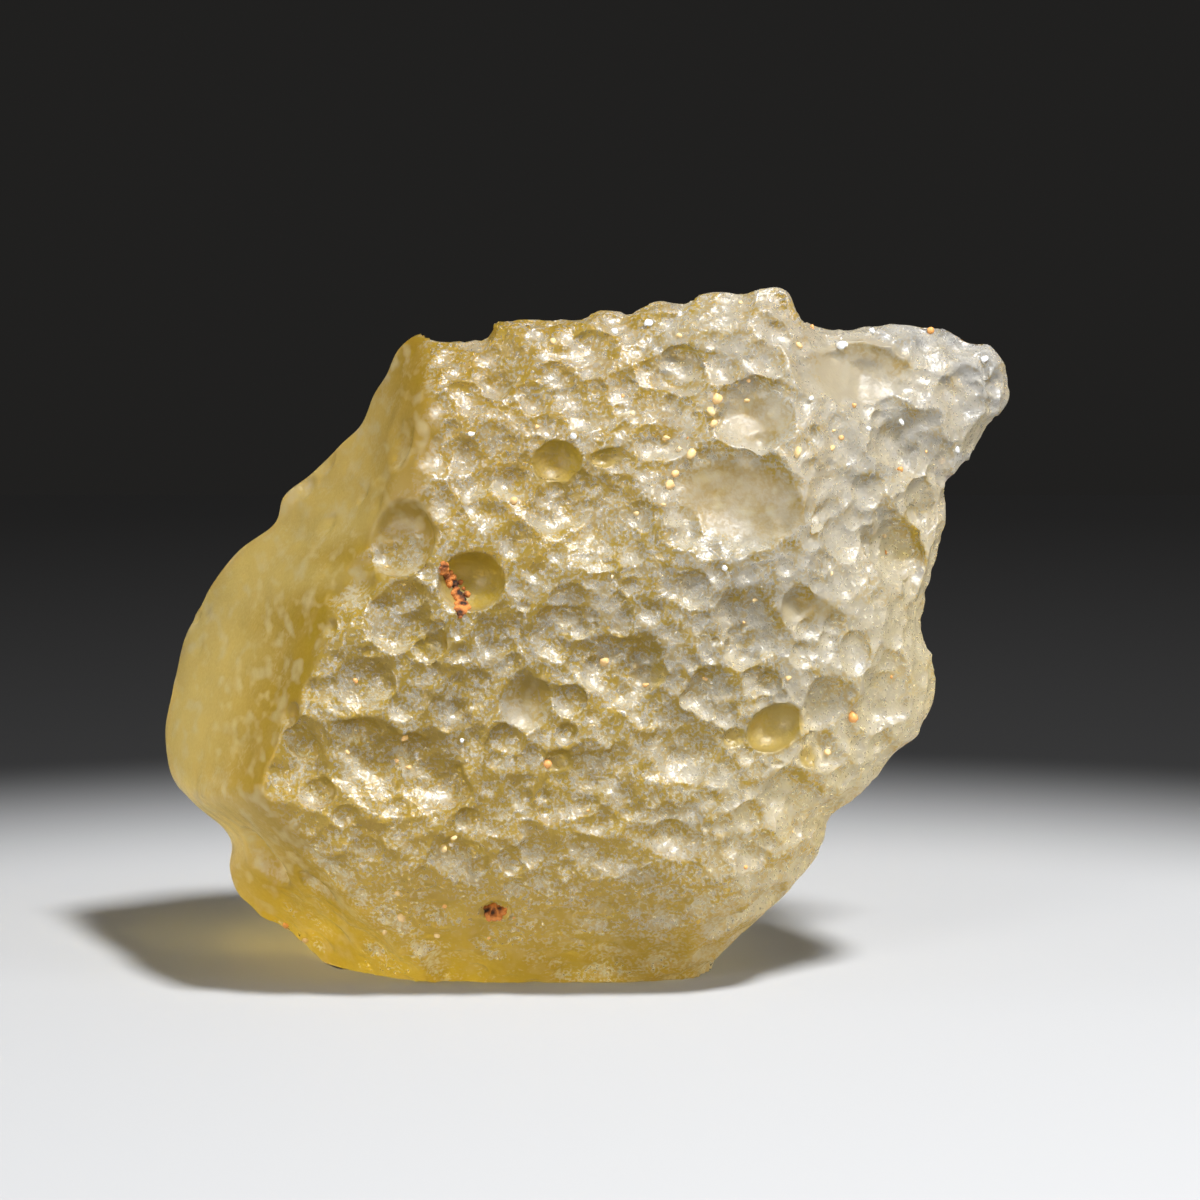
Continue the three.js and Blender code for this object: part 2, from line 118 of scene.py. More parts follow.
# Each side of the stone: which way it bulges along y, how much the edges between its facets are
# rounded, how blunt it is at the rim, and its facets. A facet is a plane through (x, y, z), whose depth
# y grows by the fourth value to the right and by the fifth upwards.
FRONT = {
    "sign": -1, "rounding": 0.55, "rim_power": 12,
    "facets": (
        (0, -12.6, 16, 0.04, 0.1),         # main face
        (-18.5, -13.2, 14, -2.1, 1.1),     # left shoulder
        (-17.3, -13.2, 11, -1.15, -1.2),   # lower left corner
        (0, -9.9, 30, 0, 0.35),            # top of the face
        (0, -12.4, 6.5, 0, -0.75),         # lower bevel
        (12, -11.5, 20, 0.45, 0),          # right side
        (13, -8.5, 33, 0.5, 0.25),         # upper right lobe
    ),
}
BACK = {
    "sign": 1, "rounding": 0.8, "rim_power": 6,
    "facets": (
        (0, 12.5, 16, -0.05, -0.12),       # back face
        (0, 9, 27, 0, -0.75),              # upper back
        (-14, 11.5, 20, 0.45, 0),          # left back
        (9, 11, 20, -0.5, 0),              # right back
        (0, 9, 7, 0, 0.5),                 # foot of the back
        (2, 11.5, 14, -0.45, 0.45),        # lower right back
    ),
}
# Each side stays at least this far from the middle, with a rounded change where it would be less.
LEAST_HALF_THICKNESS = 0.5
THIN_ROUNDING = 0.4

# The lobe, at the right, and the inner band of the shoulder, at the left, step back from the face
# along a crease that leans to the right on its way down. side is 1 where the right of it is further
# back and -1 where the left is. A step fades out downwards, between two heights.
STEPS = (
    {"side": 1, "x": 12.9, "z": 38, "lean": 0.1, "back": 1.2, "width": 2.6, "fade": (21, 29)},
    {"side": -1, "x": -12.2, "z": 38, "lean": 0.06, "back": 1.9, "width": 4.2, "fade": (22.5, 27)},
)


def smoothstep(values, low, high):
    """0 below low, 1 above high, and a smooth rise between."""
    t = np.clip((values - low) / (high - low), 0, 1)
    return t * t * (3 - 2 * t)


def soft_largest(values, rounding):
    """The largest of some values, rounded where two of them meet."""
    top = np.max(values, axis=0)
    return top + rounding * np.log(np.exp((values - top) / rounding).sum(axis=0))


def stepped_back(x, z):
    """How far the front skin lies behind its facets over (x, z), because of the steps."""
    total = 0
    for step in STEPS:
        crease = step["x"] + step["lean"] * (step["z"] - z)
        past = smoothstep(step["side"] * (x - crease), -step["width"] / 2, step["width"] / 2)
        total = total + step["back"] * past * smoothstep(z, *step["fade"])
    return total


def rim_table():
    """Rim angle, radius and depth at close steps round the hub, on a smooth curve through RIM."""
    corners = np.array([place_at_depth(*corner) for corner in RIM])
    before, after = np.roll(corners, 1, axis=0), np.roll(corners, -1, axis=0)
    leaving = (after - before) / 2
    arriving = np.roll(leaving, -1, axis=0)
    t = (np.arange(RIM_STEPS) / RIM_STEPS)[:, None, None]
    curve = (
        (2 * t**3 - 3 * t**2 + 1) * corners
        + (t**3 - 2 * t**2 + t) * leaving
        + (3 * t**2 - 2 * t**3) * after
        + (t**3 - t**2) * arriving
    ).reshape(-1, 3)
    angle = np.arctan2(curve[:, 2] - HUB_Z, curve[:, 0] - HUB_X)
    order = np.argsort(angle)
    radius = np.hypot(curve[:, 0] - HUB_X, curve[:, 2] - HUB_Z)
    return angle[order], radius[order], curve[order, 1]


RIM_ANGLE, RIM_RADIUS, RIM_DEPTH = rim_table()


def rim_at(angle):
    """Radius and depth y of the rim at an angle round the hub."""
    full_turn = 2 * math.pi
    return (
        np.interp(angle, RIM_ANGLE, RIM_RADIUS, period=full_turn),
        np.interp(angle, RIM_ANGLE, RIM_DEPTH, period=full_turn),
    )


def skin_depth(side, x, z):
    """Depth y of the stone's skin over (x, z), on its FRONT or its BACK."""
    radius, depth = rim_at(np.arctan2(z - HUB_Z, x - HUB_X))
    outward = np.minimum(np.hypot(x - HUB_X, z - HUB_Z) / radius, 1)
    middle = depth * outward**2
    sign = side["sign"]
    depths = np.array([
        y + lean_x * (x - fx) + lean_z * (z - fz) for fx, y, fz, lean_x, lean_z in side["facets"]
    ])
    reach = -soft_largest(-sign * depths, side["rounding"])
    if side is FRONT:
        reach = reach - stepped_back(x, z)
    thickness = np.array([reach - sign * middle, np.full_like(middle, LEAST_HALF_THICKNESS)])
    half_thickness = soft_largest(thickness, THIN_ROUNDING)
    return middle + sign * half_thickness * np.sqrt(1 - outward ** side["rim_power"])


# Rounds in which a place seen from in front closes in on the skin, and how far to each side of a place
# its slope is measured.
CLOSING_ROUNDS = 8
SLOPE_STEP = 0.4


def front_point(across, up):
    """Point of the front skin that appears at (across, up)."""
    point = place_at_depth(across, up, FRONT["facets"][0][1])
    for _ in range(CLOSING_ROUNDS):
        point = place_at_depth(across, up, float(skin_depth(FRONT, point[0], point[2])))
    return point


def outward_at(side, x, z):
    """Outward direction of the skin over (x, z)."""
    slope_x = skin_depth(side, x + SLOPE_STEP, z) - skin_depth(side, x - SLOPE_STEP, z)
    slope_z = skin_depth(side, x, z + SLOPE_STEP) - skin_depth(side, x, z - SLOPE_STEP)
    outward = side["sign"] * np.array((-slope_x, 2 * SLOPE_STEP, -slope_z), float)
    return outward / np.linalg.norm(outward)


# -------- bowls and pits

# The hollows that the solids have too: across, up, half-width, half-height, depth and, where one is
# turned, its turn in degrees.
LARGE_HOLLOWS = (
    # smooth saddle between the peak and the lobe, and the lobe itself
    (15.9, 13.6, 4.0, 2.6, 1.2, -5), (21.8, 12.4, 1.5, 1.9, 0.5),
    (18.4, 8.9, 2.2, 2.0, 0.6), (18.2, 3.2, 1.7, 1.4, 0.5),
    # three wide bowls under the peak
    (9.4, 11.3, 2.8, 2.3, 1.1), (8.1, 6.3, 4.7, 3.2, 1.4, -10), (-0.1, 5.1, 3.8, 3.0, 1.0, -30),
    # under the top edge
    (-0.5, 14.9, 1.6, 1.3, 0.45), (-5.6, 14.0, 1.8, 1.4, 0.4, -10), (-7.6, 8.2, 1.8, 1.5, 0.45),
    (4.9, 14.2, 1.9, 1.5, 0.45),
    # beside the left ridge
    (-11.9, 9.4, 1.3, 1.7, 0.4, -20), (-11.7, 3.9, 2.2, 1.8, 0.7), (-14.7, 1.2, 1.7, 1.7, 0.6),
    (-12.6, -1.2, 1.8, 1.7, 0.6), (-14.3, -5.0, 1.9, 1.8, 0.6), (-18.0, -8.9, 1.4, 1.4, 0.5),
    # lower left of the face
    (-13.9, -9.7, 2.3, 2.5, 0.8), (-10.0, -10.3, 1.9, 1.8, 0.6), (-8.4, -15.5, 1.8, 1.6, 0.6),
    (-3.3, -15.8, 1.6, 1.3, 0.5),
    # middle of the face
    (-6.6, -2.9, 1.7, 1.9, 0.5), (-3.3, -2.6, 1.4, 1.3, 0.45), (-4.4, -6.2, 1.6, 1.8, 0.8),
    (-1.6, -11.4, 2.4, 1.8, 0.5, 15), (1.7, -4.2, 1.4, 1.3, 0.5), (4.9, -9.6, 1.9, 1.6, 0.4),
    # lower right
    (9.2, -1.6, 1.4, 1.2, 0.4), (13.1, -1.3, 2.2, 1.3, 0.5, 10), (13.2, -6.9, 1.7, 1.1, 0.6, 20),
    (17.0, -6.4, 1.7, 1.0, 0.5, 35), (8.5, -13.6, 1.6, 1.3, 0.4),
    # scoop at the lower left corner
    (-20.3, -15.6, 2.3, 2.4, 1.7),
)
# Those of them whose edges are crisp, which are cut once more when the dimples are there.
CRISP_HOLLOWS = (
    (9.4, 11.3), (8.1, 6.3), (-4.4, -6.2), (-13.9, -9.7), (-14.3, -5.0), (4.9, -9.6),
)
# How much deeper they are cut then.
DIMPLED_AWAY = 0.2
LARGE_PITS = (
    # the two that hold soil
    (-7.7, 1.1, 1.95, 1.75, 1.8), (-6.3, -18.7, 0.95, 0.8, 0.9),
    # opened bubbles
    (-2.6, 8.2, 1.5, 1.4, 1.3), (0.4, 8.5, 1.1, 0.6, 0.6, 10), (3.2, -4.4, 0.85, 0.8, 0.8),
    (-8.5, -11.6, 0.55, 0.5, 0.5), (-2.4, -9.8, 1.0, 0.8, 0.8), (10.5, -7.7, 1.8, 1.35, 1.5, 30),
    (8.1, -8.3, 0.8, 0.6, 0.6, 15), (12.7, -9.4, 0.75, 0.7, 0.6), (19.0, 5.0, 0.9, 0.5, 0.5),
    (0.4, -18.7, 0.45, 0.45, 0.5), (-10.3, -2.5, 0.9, 0.5, 0.5, 50),
)

# Smaller hollows that the solids leave out, cut into the large ones: same values.
SMALL_HOLLOWS = (
    # under the top edge and beside the left ridge
    (1.5, 12.7, 0.9, 0.9, 0.35), (-8.5, 13.7, 0.9, 0.7, 0.3), (-7.8, 5.6, 0.6, 0.6, 0.25),
    (1.3, 8.1, 1.15, 1.1, 0.5), (2.4, 5.1, 0.9, 0.8, 0.3), (-16.2, -1.7, 0.6, 0.6, 0.3),
    (-15.4, -1.5, 0.4, 0.4, 0.2), (-13.9, -3.1, 0.6, 0.4, 0.25, 20), (-9.6, -1.5, 0.35, 0.35, 0.2),
    (-17.6, -5.4, 0.75, 0.75, 0.3), (-18.5, -7.0, 0.85, 0.8, 0.35), (-17.2, -11.8, 1.0, 0.9, 0.4),
    (-15.4, -12.9, 0.75, 0.7, 0.3), (-14.0, -15.0, 1.0, 0.9, 0.4),
    # middle of the face
    (-2.0, 0.2, 1.0, 1.0, 0.4), (0.6, 1.2, 1.1, 0.9, 0.35, 20), (-4.5, -0.4, 0.4, 0.35, 0.25),
    (-1.2, -1.7, 0.6, 0.6, 0.25), (-0.9, -3.0, 0.8, 0.8, 0.3), (-0.5, -1.0, 0.5, 0.5, 0.2),
    (-2.3, -0.8, 1.0, 0.7, 0.3), (6.1, 0.5, 1.2, 1.1, 0.4), (-5.6, -8.5, 1.0, 0.95, 0.4),
    (-2.1, -8.1, 0.6, 0.6, 0.3), (-1.8, -6.0, 0.9, 0.9, 0.35), (-0.3, -8.8, 0.85, 0.7, 0.2),
    (-8.2, -13.1, 0.6, 0.6, 0.3), (-3.2, -11.8, 0.25, 0.25, 0.2), (-4.2, -12.7, 0.85, 0.8, 0.35),
    (-0.9, -13.5, 0.85, 0.8, 0.3), (-5.5, -15.4, 0.9, 0.9, 0.35), (-1.3, -20.5, 0.6, 0.2, 0.2, -20),
    # right half of the face
    (4.1, -13.6, 0.85, 0.85, 0.35), (6.4, -13.6, 0.6, 0.6, 0.15), (6.4, -13.6, 0.25, 0.25, 0.3),
    (6.8, -11.8, 0.25, 0.25, 0.25), (6.9, -2.5, 0.25, 0.25, 0.25), (8.0, -2.0, 0.3, 0.3, 0.25),
    (10.7, -9.8, 0.5, 0.2, 0.25), (15.1, -3.3, 1.0, 1.3, 0.4), (17.4, -3.8, 0.85, 0.85, 0.3),
    (12.0, -3.6, 0.9, 0.9, 0.35), (12.3, -1.7, 0.6, 0.6, 0.25), (13.9, -1.7, 0.55, 0.55, 0.25),
    (11.1, 1.9, 0.6, 0.6, 0.25), (12.9, 0.9, 0.5, 0.5, 0.2), (8.7, -12.9, 0.9, 0.9, 0.3),
    (10.2, -14.5, 0.7, 0.7, 0.3), (11.9, -13.9, 0.55, 0.55, 0.25), (13.4, -13.2, 0.25, 0.55, 0.25),
    (17.5, 3.3, 1.0, 1.0, 0.35), (18.7, 3.1, 0.55, 0.55, 0.25), (15.0, 3.7, 1.6, 1.5, 0.4),
    (18.9, 6.6, 1.2, 1.2, 0.4), (12.9, 4.6, 0.3, 1.0, 0.4), (13.9, 2.3, 0.3, 0.6, 0.35),
    (12.9, 9.9, 0.3, 0.6, 0.4), (23.2, 13.5, 0.25, 0.9, 0.4),
)

# The back is as blasted: bowls along a spiral, as in the solids. Depth and roundness are shares of
# a bowl's half-width.
BACK_BOWL_COUNT = 18
BACK_BOWL_SIZE = (1.2, 3.4)
BACK_BOWL_DEPTH = (0.22, 0.36)
BACK_BOWL_ROUNDNESS = (0.75, 1)
BACK_SPREAD = 0.9
BACK_SMALL_ONES = 1.5
BACK_SEED = 7
GOLDEN_ANGLE = math.pi * (3 - math.sqrt(5))
MULTIPLIER = 48271
MODULUS = 2**31 - 1


def seeded_random(seed):
    """The solids' own repeatable run of numbers between 0 and 1."""
    state = seed
    while True:
        state = state * MULTIPLIER % MODULUS
        yield state / MODULUS


def hollow(at, outward, wide, tall, deep, turn=0):
    """A hollow round a place of the skin: half-width, half-height, depth, and turn in degrees."""
    return {"at": at, "outward": outward, "wide": wide, "tall": tall, "deep": deep, "turn": turn}


def front_hollow(across, up, *sizes):
    """A hollow of such sizes, set on the front skin."""
    at = front_point(across, up)
    return hollow(at, outward_at(FRONT, at[0], at[2]), *sizes)


def back_hollows():
    """The bowls of the back, along a spiral."""
    random = seeded_random(BACK_SEED)
    made = []
    for i in range(BACK_BOWL_COUNT):
        angle = i * GOLDEN_ANGLE
        radius, _ = rim_at(math.atan2(math.sin(angle), math.cos(angle)))
        reach = BACK_SPREAD * math.sqrt((i + 0.5) / BACK_BOWL_COUNT) * radius
        x = HUB_X + reach * math.cos(angle)
        z = HUB_Z + reach * math.sin(angle)
        at = np.array((x, float(skin_depth(BACK, x, z)), z))
        wide = np.interp(next(random) ** BACK_SMALL_ONES, (0, 1), BACK_BOWL_SIZE)
        tall = wide * np.interp(next(random), (0, 1), BACK_BOWL_ROUNDNESS)
        deep = wide * np.interp(next(random), (0, 1), BACK_BOWL_DEPTH)
        made.append(hollow(at, outward_at(BACK, x, z), wide, tall, deep, 180 * next(random)))
    return made


def axes_of(bowl):
    """A hollow's own axes as rows (right, outward, forward), and its scale along each."""
    outward = bowl["outward"]
    right = VIEW_RIGHT - outward[0] * outward
    right = right / np.linalg.norm(right)
    turn = math.radians(bowl["turn"])
    right = right * math.cos(turn) + np.cross(outward, right) * math.sin(turn)
    size = math.sqrt(bowl["wide"] * bowl["tall"])
    scale = np.array((bowl["wide"] / size, 1.0, bowl["tall"] / size))
    return np.array((right, outward, np.cross(right, outward))), scale, size


def ball_of(size, deep):
    """Radius of the ball that leaves such a hollow in a flat face, and its middle's height."""
    ball = (size**2 + deep**2) / (2 * deep)
    return ball, ball - deep


# Share of a hollow's depth and least length over which its edge is rounded, and how quickly its
# ball fades out past the edge.
EDGE_SHARE = 0.06
EDGE_LEAST = 0.025
PAST_EDGE_FADE = 1.5
# Points are pushed away from a place inside the ball, at this share of the way up to its top.
PUSH_FROM = 0.7
# How far out from a hollow points are looked at, as a share of its half-width.
CARVE_REACH = 1.5


def finder(points):
    """A quick search for the points that lie within reach of a place."""
    tree = kdtree.KDTree(len(points))
    for k, point in enumerate(points.tolist()):
        tree.insert(point, k)
    tree.balance()
    return lambda at, reach: np.array([k for _, k, _ in tree.find_range(at, reach)], int)


def carve(points, bowl, find=None):
    """Pushes the points inside a hollow's ball down to the far side of the ball."""
    reach = CARVE_REACH * max(bowl["wide"], bowl["tall"])
    if find:
        near = find(bowl["at"], reach)
    else:
        near = np.flatnonzero(((points - bowl["at"]) ** 2).sum(1) < reach**2)
    if not len(near):
        return
    axes, scale, size = axes_of(bowl)
    ball, middle = ball_of(size, bowl["deep"])
    own = (points[near] - bowl["at"]) @ axes.T / scale
    push_from = np.array((0, PUSH_FROM * (middle + ball), 0))
    ray = own - push_from
    length = np.linalg.norm(ray, axis=1)
    ray = ray / length[:, None]
    ahead = ray[:, 1] * (middle - push_from[1])
    gap = (middle - push_from[1]) ** 2 - ahead**2
    exit_length = ahead + np.sqrt(np.maximum(ball**2 - gap, 0))
    aside = np.hypot(own[:, 0], own[:, 2])
    inside = exit_length - length - PAST_EDGE_FADE * np.maximum(aside - size, 0)
    rounding = max(EDGE_LEAST, EDGE_SHARE * bowl["deep"])
    push = rounding * np.logaddexp(0, inside / rounding)
    own = own + ray * push[:, None]
    points[near] = own * scale @ axes + bowl["at"]


# -------- the stone's mesh

SPHERE_STEPS = 90
# Share by which the sphere's points are drawn together towards the front, which is the finer side.
FRONT_DRAW = 0.22
# Pits smaller than this get a finer mesh, out to REFINE_REACH times their half-width.
REFINE_BELOW = 1.9
REFINE_REACH = 1.35
# Points of the sphere that agree to so many digits are one.
SAME_PLACE_DIGITS = 6
# The outline is the sum of so many waves that turn each way.
RIM_WAVES = 180
# Keeps a division by a length from failing where the length is nothing.
LEAST_LENGTH = 1e-12

GOLDEN = (1 + math.sqrt(5)) / 2
ICOSAHEDRON_POINTS = np.array((
    (-1, GOLDEN, 0), (1, GOLDEN, 0), (-1, -GOLDEN, 0), (1, -GOLDEN, 0),
    (0, -1, GOLDEN), (0, 1, GOLDEN), (0, -1, -GOLDEN), (0, 1, -GOLDEN),
    (GOLDEN, 0, -1), (GOLDEN, 0, 1), (-GOLDEN, 0, -1), (-GOLDEN, 0, 1),
))
ICOSAHEDRON_FACES = (
    (0, 11, 5), (0, 5, 1), (0, 1, 7), (0, 7, 10), (0, 10, 11), (1, 5, 9), (5, 11, 4), (11, 10, 2),
    (10, 7, 6), (7, 1, 8), (3, 9, 4), (3, 4, 2), (3, 2, 6), (3, 6, 8), (3, 8, 9), (4, 9, 5),
    (2, 4, 11), (6, 2, 10), (8, 6, 7), (9, 8, 1),
)


def unit(vectors):
    """Each vector made one long."""
    return vectors / np.linalg.norm(vectors, axis=1)[:, None]


def sphere(steps):
    """An even sphere: each side of an icosahedron's faces is cut into steps."""
    grid = [(i, j) for i in range(steps + 1) for j in range(steps + 1 - i)]
    number = {place: k for k, place in enumerate(grid)}
    upright = [(number[i, j], number[i + 1, j], number[i, j + 1]) for i, j in grid if i + j < steps]
    hanging = [
        (number[i + 1, j], number[i + 1, j + 1], number[i, j + 1]) for i, j in grid if i + j < steps - 1
    ]
    cells = np.array(upright + hanging)
    share = np.array(grid) / steps
    points, faces = [], []
    for k, corners in enumerate(ICOSAHEDRON_FACES):
        a, b, c = ICOSAHEDRON_POINTS[list(corners)]
        points.append(a + share[:, :1] * (b - a) + share[:, 1:] * (c - a))
        faces.append(cells + k * len(grid))
    points = unit(np.concatenate(points))
    _, first, merged = np.unique(
        points.round(SAME_PLACE_DIGITS), axis=0, return_index=True, return_inverse=True
    )
    return points[first], merged.reshape(-1)[np.concatenate(faces)]


def rim_waves():
    """The rim as a sum of turning waves, at even steps along its length."""
    rim = RIM_RADIUS * np.exp(1j * RIM_ANGLE)
    along = np.concatenate(((0,), np.cumsum(np.abs(np.diff(np.append(rim, rim[0]))))))
    turn = RIM_ANGLE[0] + 2 * math.pi * along / along[-1]
    even = np.arange(2 * RIM_WAVES + 2) * math.pi / (RIM_WAVES + 1)
    closed = np.append(rim, rim[0])
    values = np.interp(even, turn, closed.real, period=2 * math.pi)
    values = values + 1j * np.interp(even, turn, closed.imag, period=2 * math.pi)
    return np.fft.fft(values) / len(values)


def spread_in_rim(inside):
    """Points of the unit disc, as complex numbers, spread smoothly over the stone's outline."""
    waves = rim_waves()
    placed = np.full(len(inside), waves[0])
    power = np.ones(len(inside), complex)
    for k in range(1, RIM_WAVES + 1):
        power = power * inside
        placed = placed + waves[k] * power + waves[-k] * power.conj()
    return placed.real + HUB_X, placed.imag + HUB_Z


def on_skin(directions):
    """Directions from the middle of a sphere, each carried along to a point of the stone's skin."""
    shrink = math.sqrt(1 - FRONT_DRAW**2) / (1 - FRONT_DRAW * directions[:, 1])
    in_front = directions[:, 1] < FRONT_DRAW
    x, z = spread_in_rim((directions[:, 0] + 1j * directions[:, 2]) * shrink)
    y = np.where(in_front, skin_depth(FRONT, x, z), skin_depth(BACK, x, z))
    return np.stack((x, y, z), 1)


def refined(directions, faces, pits):
    """The sphere with each edge near a pit cut in two."""
    points = on_skin(directions)
    near = np.zeros(len(points), bool)
    for pit in pits:
        reach = REFINE_REACH * max(pit["wide"], pit["tall"])
        near |= ((points - pit["at"]) ** 2).sum(1) < reach**2
    mesh = bpy.data.meshes.new("sphere")
    mesh.from_pydata(directions.tolist(), [], faces.tolist())
    fine = bmesh.new()
    fine.from_mesh(mesh)
    fine.verts.ensure_lookup_table()
    edges = [edge for edge in fine.edges if all(near[vertex.index] for vertex in edge.verts)]
    bmesh.ops.subdivide_edges(fine, edges=edges, cuts=1, use_grid_fill=True)
    bmesh.ops.triangulate(fine, faces=[face for face in fine.faces if len(face.verts) > 3])
    fine.to_mesh(mesh)
    fine.free()
    directions = read_points(mesh)
    faces = read_faces(mesh)
    bpy.data.meshes.remove(mesh)
    return unit(directions), faces


def read_points(mesh):
    """A mesh's points, one in each row."""
    values = np.empty(len(mesh.vertices) * 3)
    mesh.vertices.foreach_get("co", values)
    return values.reshape(-1, 3)


def read_faces(mesh):
    """A mesh's triangles, as three point numbers in each row."""
    values = np.empty(len(mesh.loops), int)
    mesh.loops.foreach_get("vertex_index", values)
    return values.reshape(-1, 3)


def crosses_of(points, faces):
    """Each face's outward direction, as long as twice its area."""
    a, b, c = (points[faces[:, corner]] for corner in range(3))
    return np.cross(b - a, c - a)


def summed(points, faces, values):
    """At each point, the sum of the values of the faces round it."""
    return np.bincount(faces.ravel(), np.repeat(values, 3), len(points))


def normals_of(points, faces):
    """Outward directions of the points, from the faces round each."""
    crosses = crosses_of(points, faces)
    normals = np.stack([summed(points, faces, crosses[:, axis]) for axis in range(3)], 1)
    return normals / np.maximum(np.linalg.norm(normals, axis=1), LEAST_LENGTH)[:, None]


class Smoother:
    """Averages a value of each point with its neighbours'."""

    def __init__(self, count, faces):
        pairs = np.concatenate((faces[:, (0, 1)], faces[:, (1, 2)], faces[:, (2, 0)]))
        self.start = np.concatenate((pairs[:, 0], pairs[:, 1]))
        self.end = np.concatenate((pairs[:, 1], pairs[:, 0]))
        self.faces = faces
        self.count = count
        self.degree = np.bincount(self.start, minlength=count)

    def once(self, values):
        """Each point's value replaced by the mean of its neighbours'."""
        return np.bincount(self.start, values[self.end], self.count) / self.degree

    def rounds(self, values, count):
        """The values, or rows of values, averaged so many times."""
        columns = [values[:, k] for k in range(values.shape[1])] if values.ndim == 2 else [values]
        for _ in range(count):
            columns = [self.once(column) for column in columns]
        return np.stack(columns, 1) if values.ndim == 2 else columns[0]

    def normals(self, points, count):
        """The points' outward directions, averaged so many times."""
        return unit(self.rounds(normals_of(points, self.faces), count))


# Slow swells of the skin: height and width of each.
SWELLS = ((0.16, 6.0), (0.08, 2.4))


def swell(points, normals):
    """Moves the skin in and out a little, so that no facet is quite flat."""
    for height, width in SWELLS:
        shift = [noise.noise(Vector(point) / width) for point in points.tolist()]
        points += height * np.array(shift)[:, None] * normals


# The blunt crest that runs down from the shoulder beside the scoop: across, up, and its half-width and
# height.
CREST = ((-23.2, -11.6), (-20.4, -12.6), (-17.6, -14.5), (-15.6, -16.6), (-13.6, -18.9), (-10.4, -21.6))
CREST_HALF_WIDTH = 0.9
CREST_HEIGHT = 0.4


def on_crest(points, normals):
    """1 along the top of the crest, and less away from it."""
    screen = seen_at(points)
    away = np.full(len(points), np.inf)
    for start, end in zip(np.array(CREST)[:-1], np.array(CREST)[1:]):
        along = np.clip((screen - start) @ (end - start) / ((end - start) ** 2).sum(), 0, 1)
        away = np.minimum(away, np.linalg.norm(screen - start - along[:, None] * (end - start), axis=1))
    return (normals @ VIEW_AHEAD < 0) * np.exp(-((away / CREST_HALF_WIDTH) ** 2))


# Seeded dimples, in rounds from large to small: count, half-width range, depth as a share of it.
DIMPLE_ROUNDS = (
    (520, (1.1, 1.9), (0.13, 0.21)),
    (1300, (0.65, 1.1), (0.17, 0.28)),
    (4200, (0.38, 0.65), (0.2, 0.34)),
)
DIMPLE_ROUNDNESS = (0.75, 1)
# Rounds of averaging behind the directions that dimples and small hollows are cut in.
DIMPLE_NORMAL_ROUNDS = 3
BROAD_NORMAL_ROUNDS = 4
# Places of the face that the blasting left smooth: across, up, half-width, half-height, turn, and how
# likely a dimple still is there.
SMOOTH_PLACES = (
    (15.6, 13.8, 3.2, 1.9, 0, 0.3), (8.6, 6.0, 3.9, 2.4, -10, 0.1), (-2.6, 8.2, 1.5, 1.4, 0, 0.45),
    (10.5, -7.7, 1.9, 1.5, 30, 0.45), (-7.7, 1.1, 2.0, 1.8, 0, 0.4), (-20.3, -15.6, 2.6, 2.6, 0, 0.04),
    (9.6, 10.9, 2.0, 1.5, 0, 0.15), (-4.4, -6.2, 1.4, 1.6, 0, 0.3), (12.4, -0.5, 2.0, 0.9, 0, 0.2),
)
# The sharp edge between the smooth shoulder and the face, from the top down: up, across.
SHOULDER_EDGE = (
    (15.3, -11.1), (13.0, -10.5), (10.9, -9.6), (7.4, -10.3), (6.2, -10.6), (4.7, -9.4), (1.6, -11.0),
    (2.3, -15.6), (0.3, -16.4), (-1.3, -18.0), (-2.9, -17.2), (-5.2, -18.8), (-9.0, -19.4), (-11.1, -20.3),
    (-13.0, -18.6), (-14.4, -17.4), (-16.2, -19.5),
)
# How likely a dimple is on the left shoulder, and at most on faces that look down.
SHOULDER_SHARE = 0.012
UNDERSIDE_SHARE = 0.5
UNDERSIDE_LEAN = -0.6
# Past the edge seen from in front, the shoulder is the skin left of SHOULDER_END that looks to the
# left, and hardly back.
SHOULDER_END = -8
SHOULDER_LEAN = -0.62
SHOULDER_BACK_LEAN = 0.3


def in_oval(screen, across, up, half_width, half_height, turn=0):
    """Which places seen from in front lie in an oval, turned by some degrees."""
    c, s = math.cos(math.radians(turn)), math.sin(math.radians(turn))
    offset = screen - (across, up)
    along = (offset[:, 0] * c + offset[:, 1] * s) / half_width
    over = (offset[:, 1] * c - offset[:, 0] * s) / half_height
    return along**2 + over**2 < 1


def left_of_edge(screen):
    """How far places seen from in front lie to the left of the shoulder's sharp edge."""
    edge_up, edge_across = np.array(sorted(SHOULDER_EDGE)).T
    return np.interp(screen[:, 1], edge_up, edge_across) - screen[:, 0]


def roughened(points, normals):
    """How readily dimples form at each point, from 0 to 1."""
    share = np.ones(len(points))
    screen = seen_at(points)
    facing = normals @ VIEW_AHEAD < 0
    for *oval, left in SMOOTH_PLACES:
        share = np.where(facing & in_oval(screen, *oval), left, share)
    looks_left = (normals[:, 0] < SHOULDER_LEAN) & (normals[:, 1] < SHOULDER_BACK_LEAN)
    shoulder = (facing & (left_of_edge(screen) > 0)) | (looks_left & (points[:, 0] < SHOULDER_END))
    share = np.where(shoulder, SHOULDER_SHARE, share)
    return np.where(normals[:, 2] < UNDERSIDE_LEAN, np.minimum(share, UNDERSIDE_SHARE), share)


def point_areas(points, faces):
    """The area of skin that belongs to each point: a third of each face round it."""
    areas = np.linalg.norm(crosses_of(points, faces), axis=1) / 2
    return summed(points, faces, areas / 3)


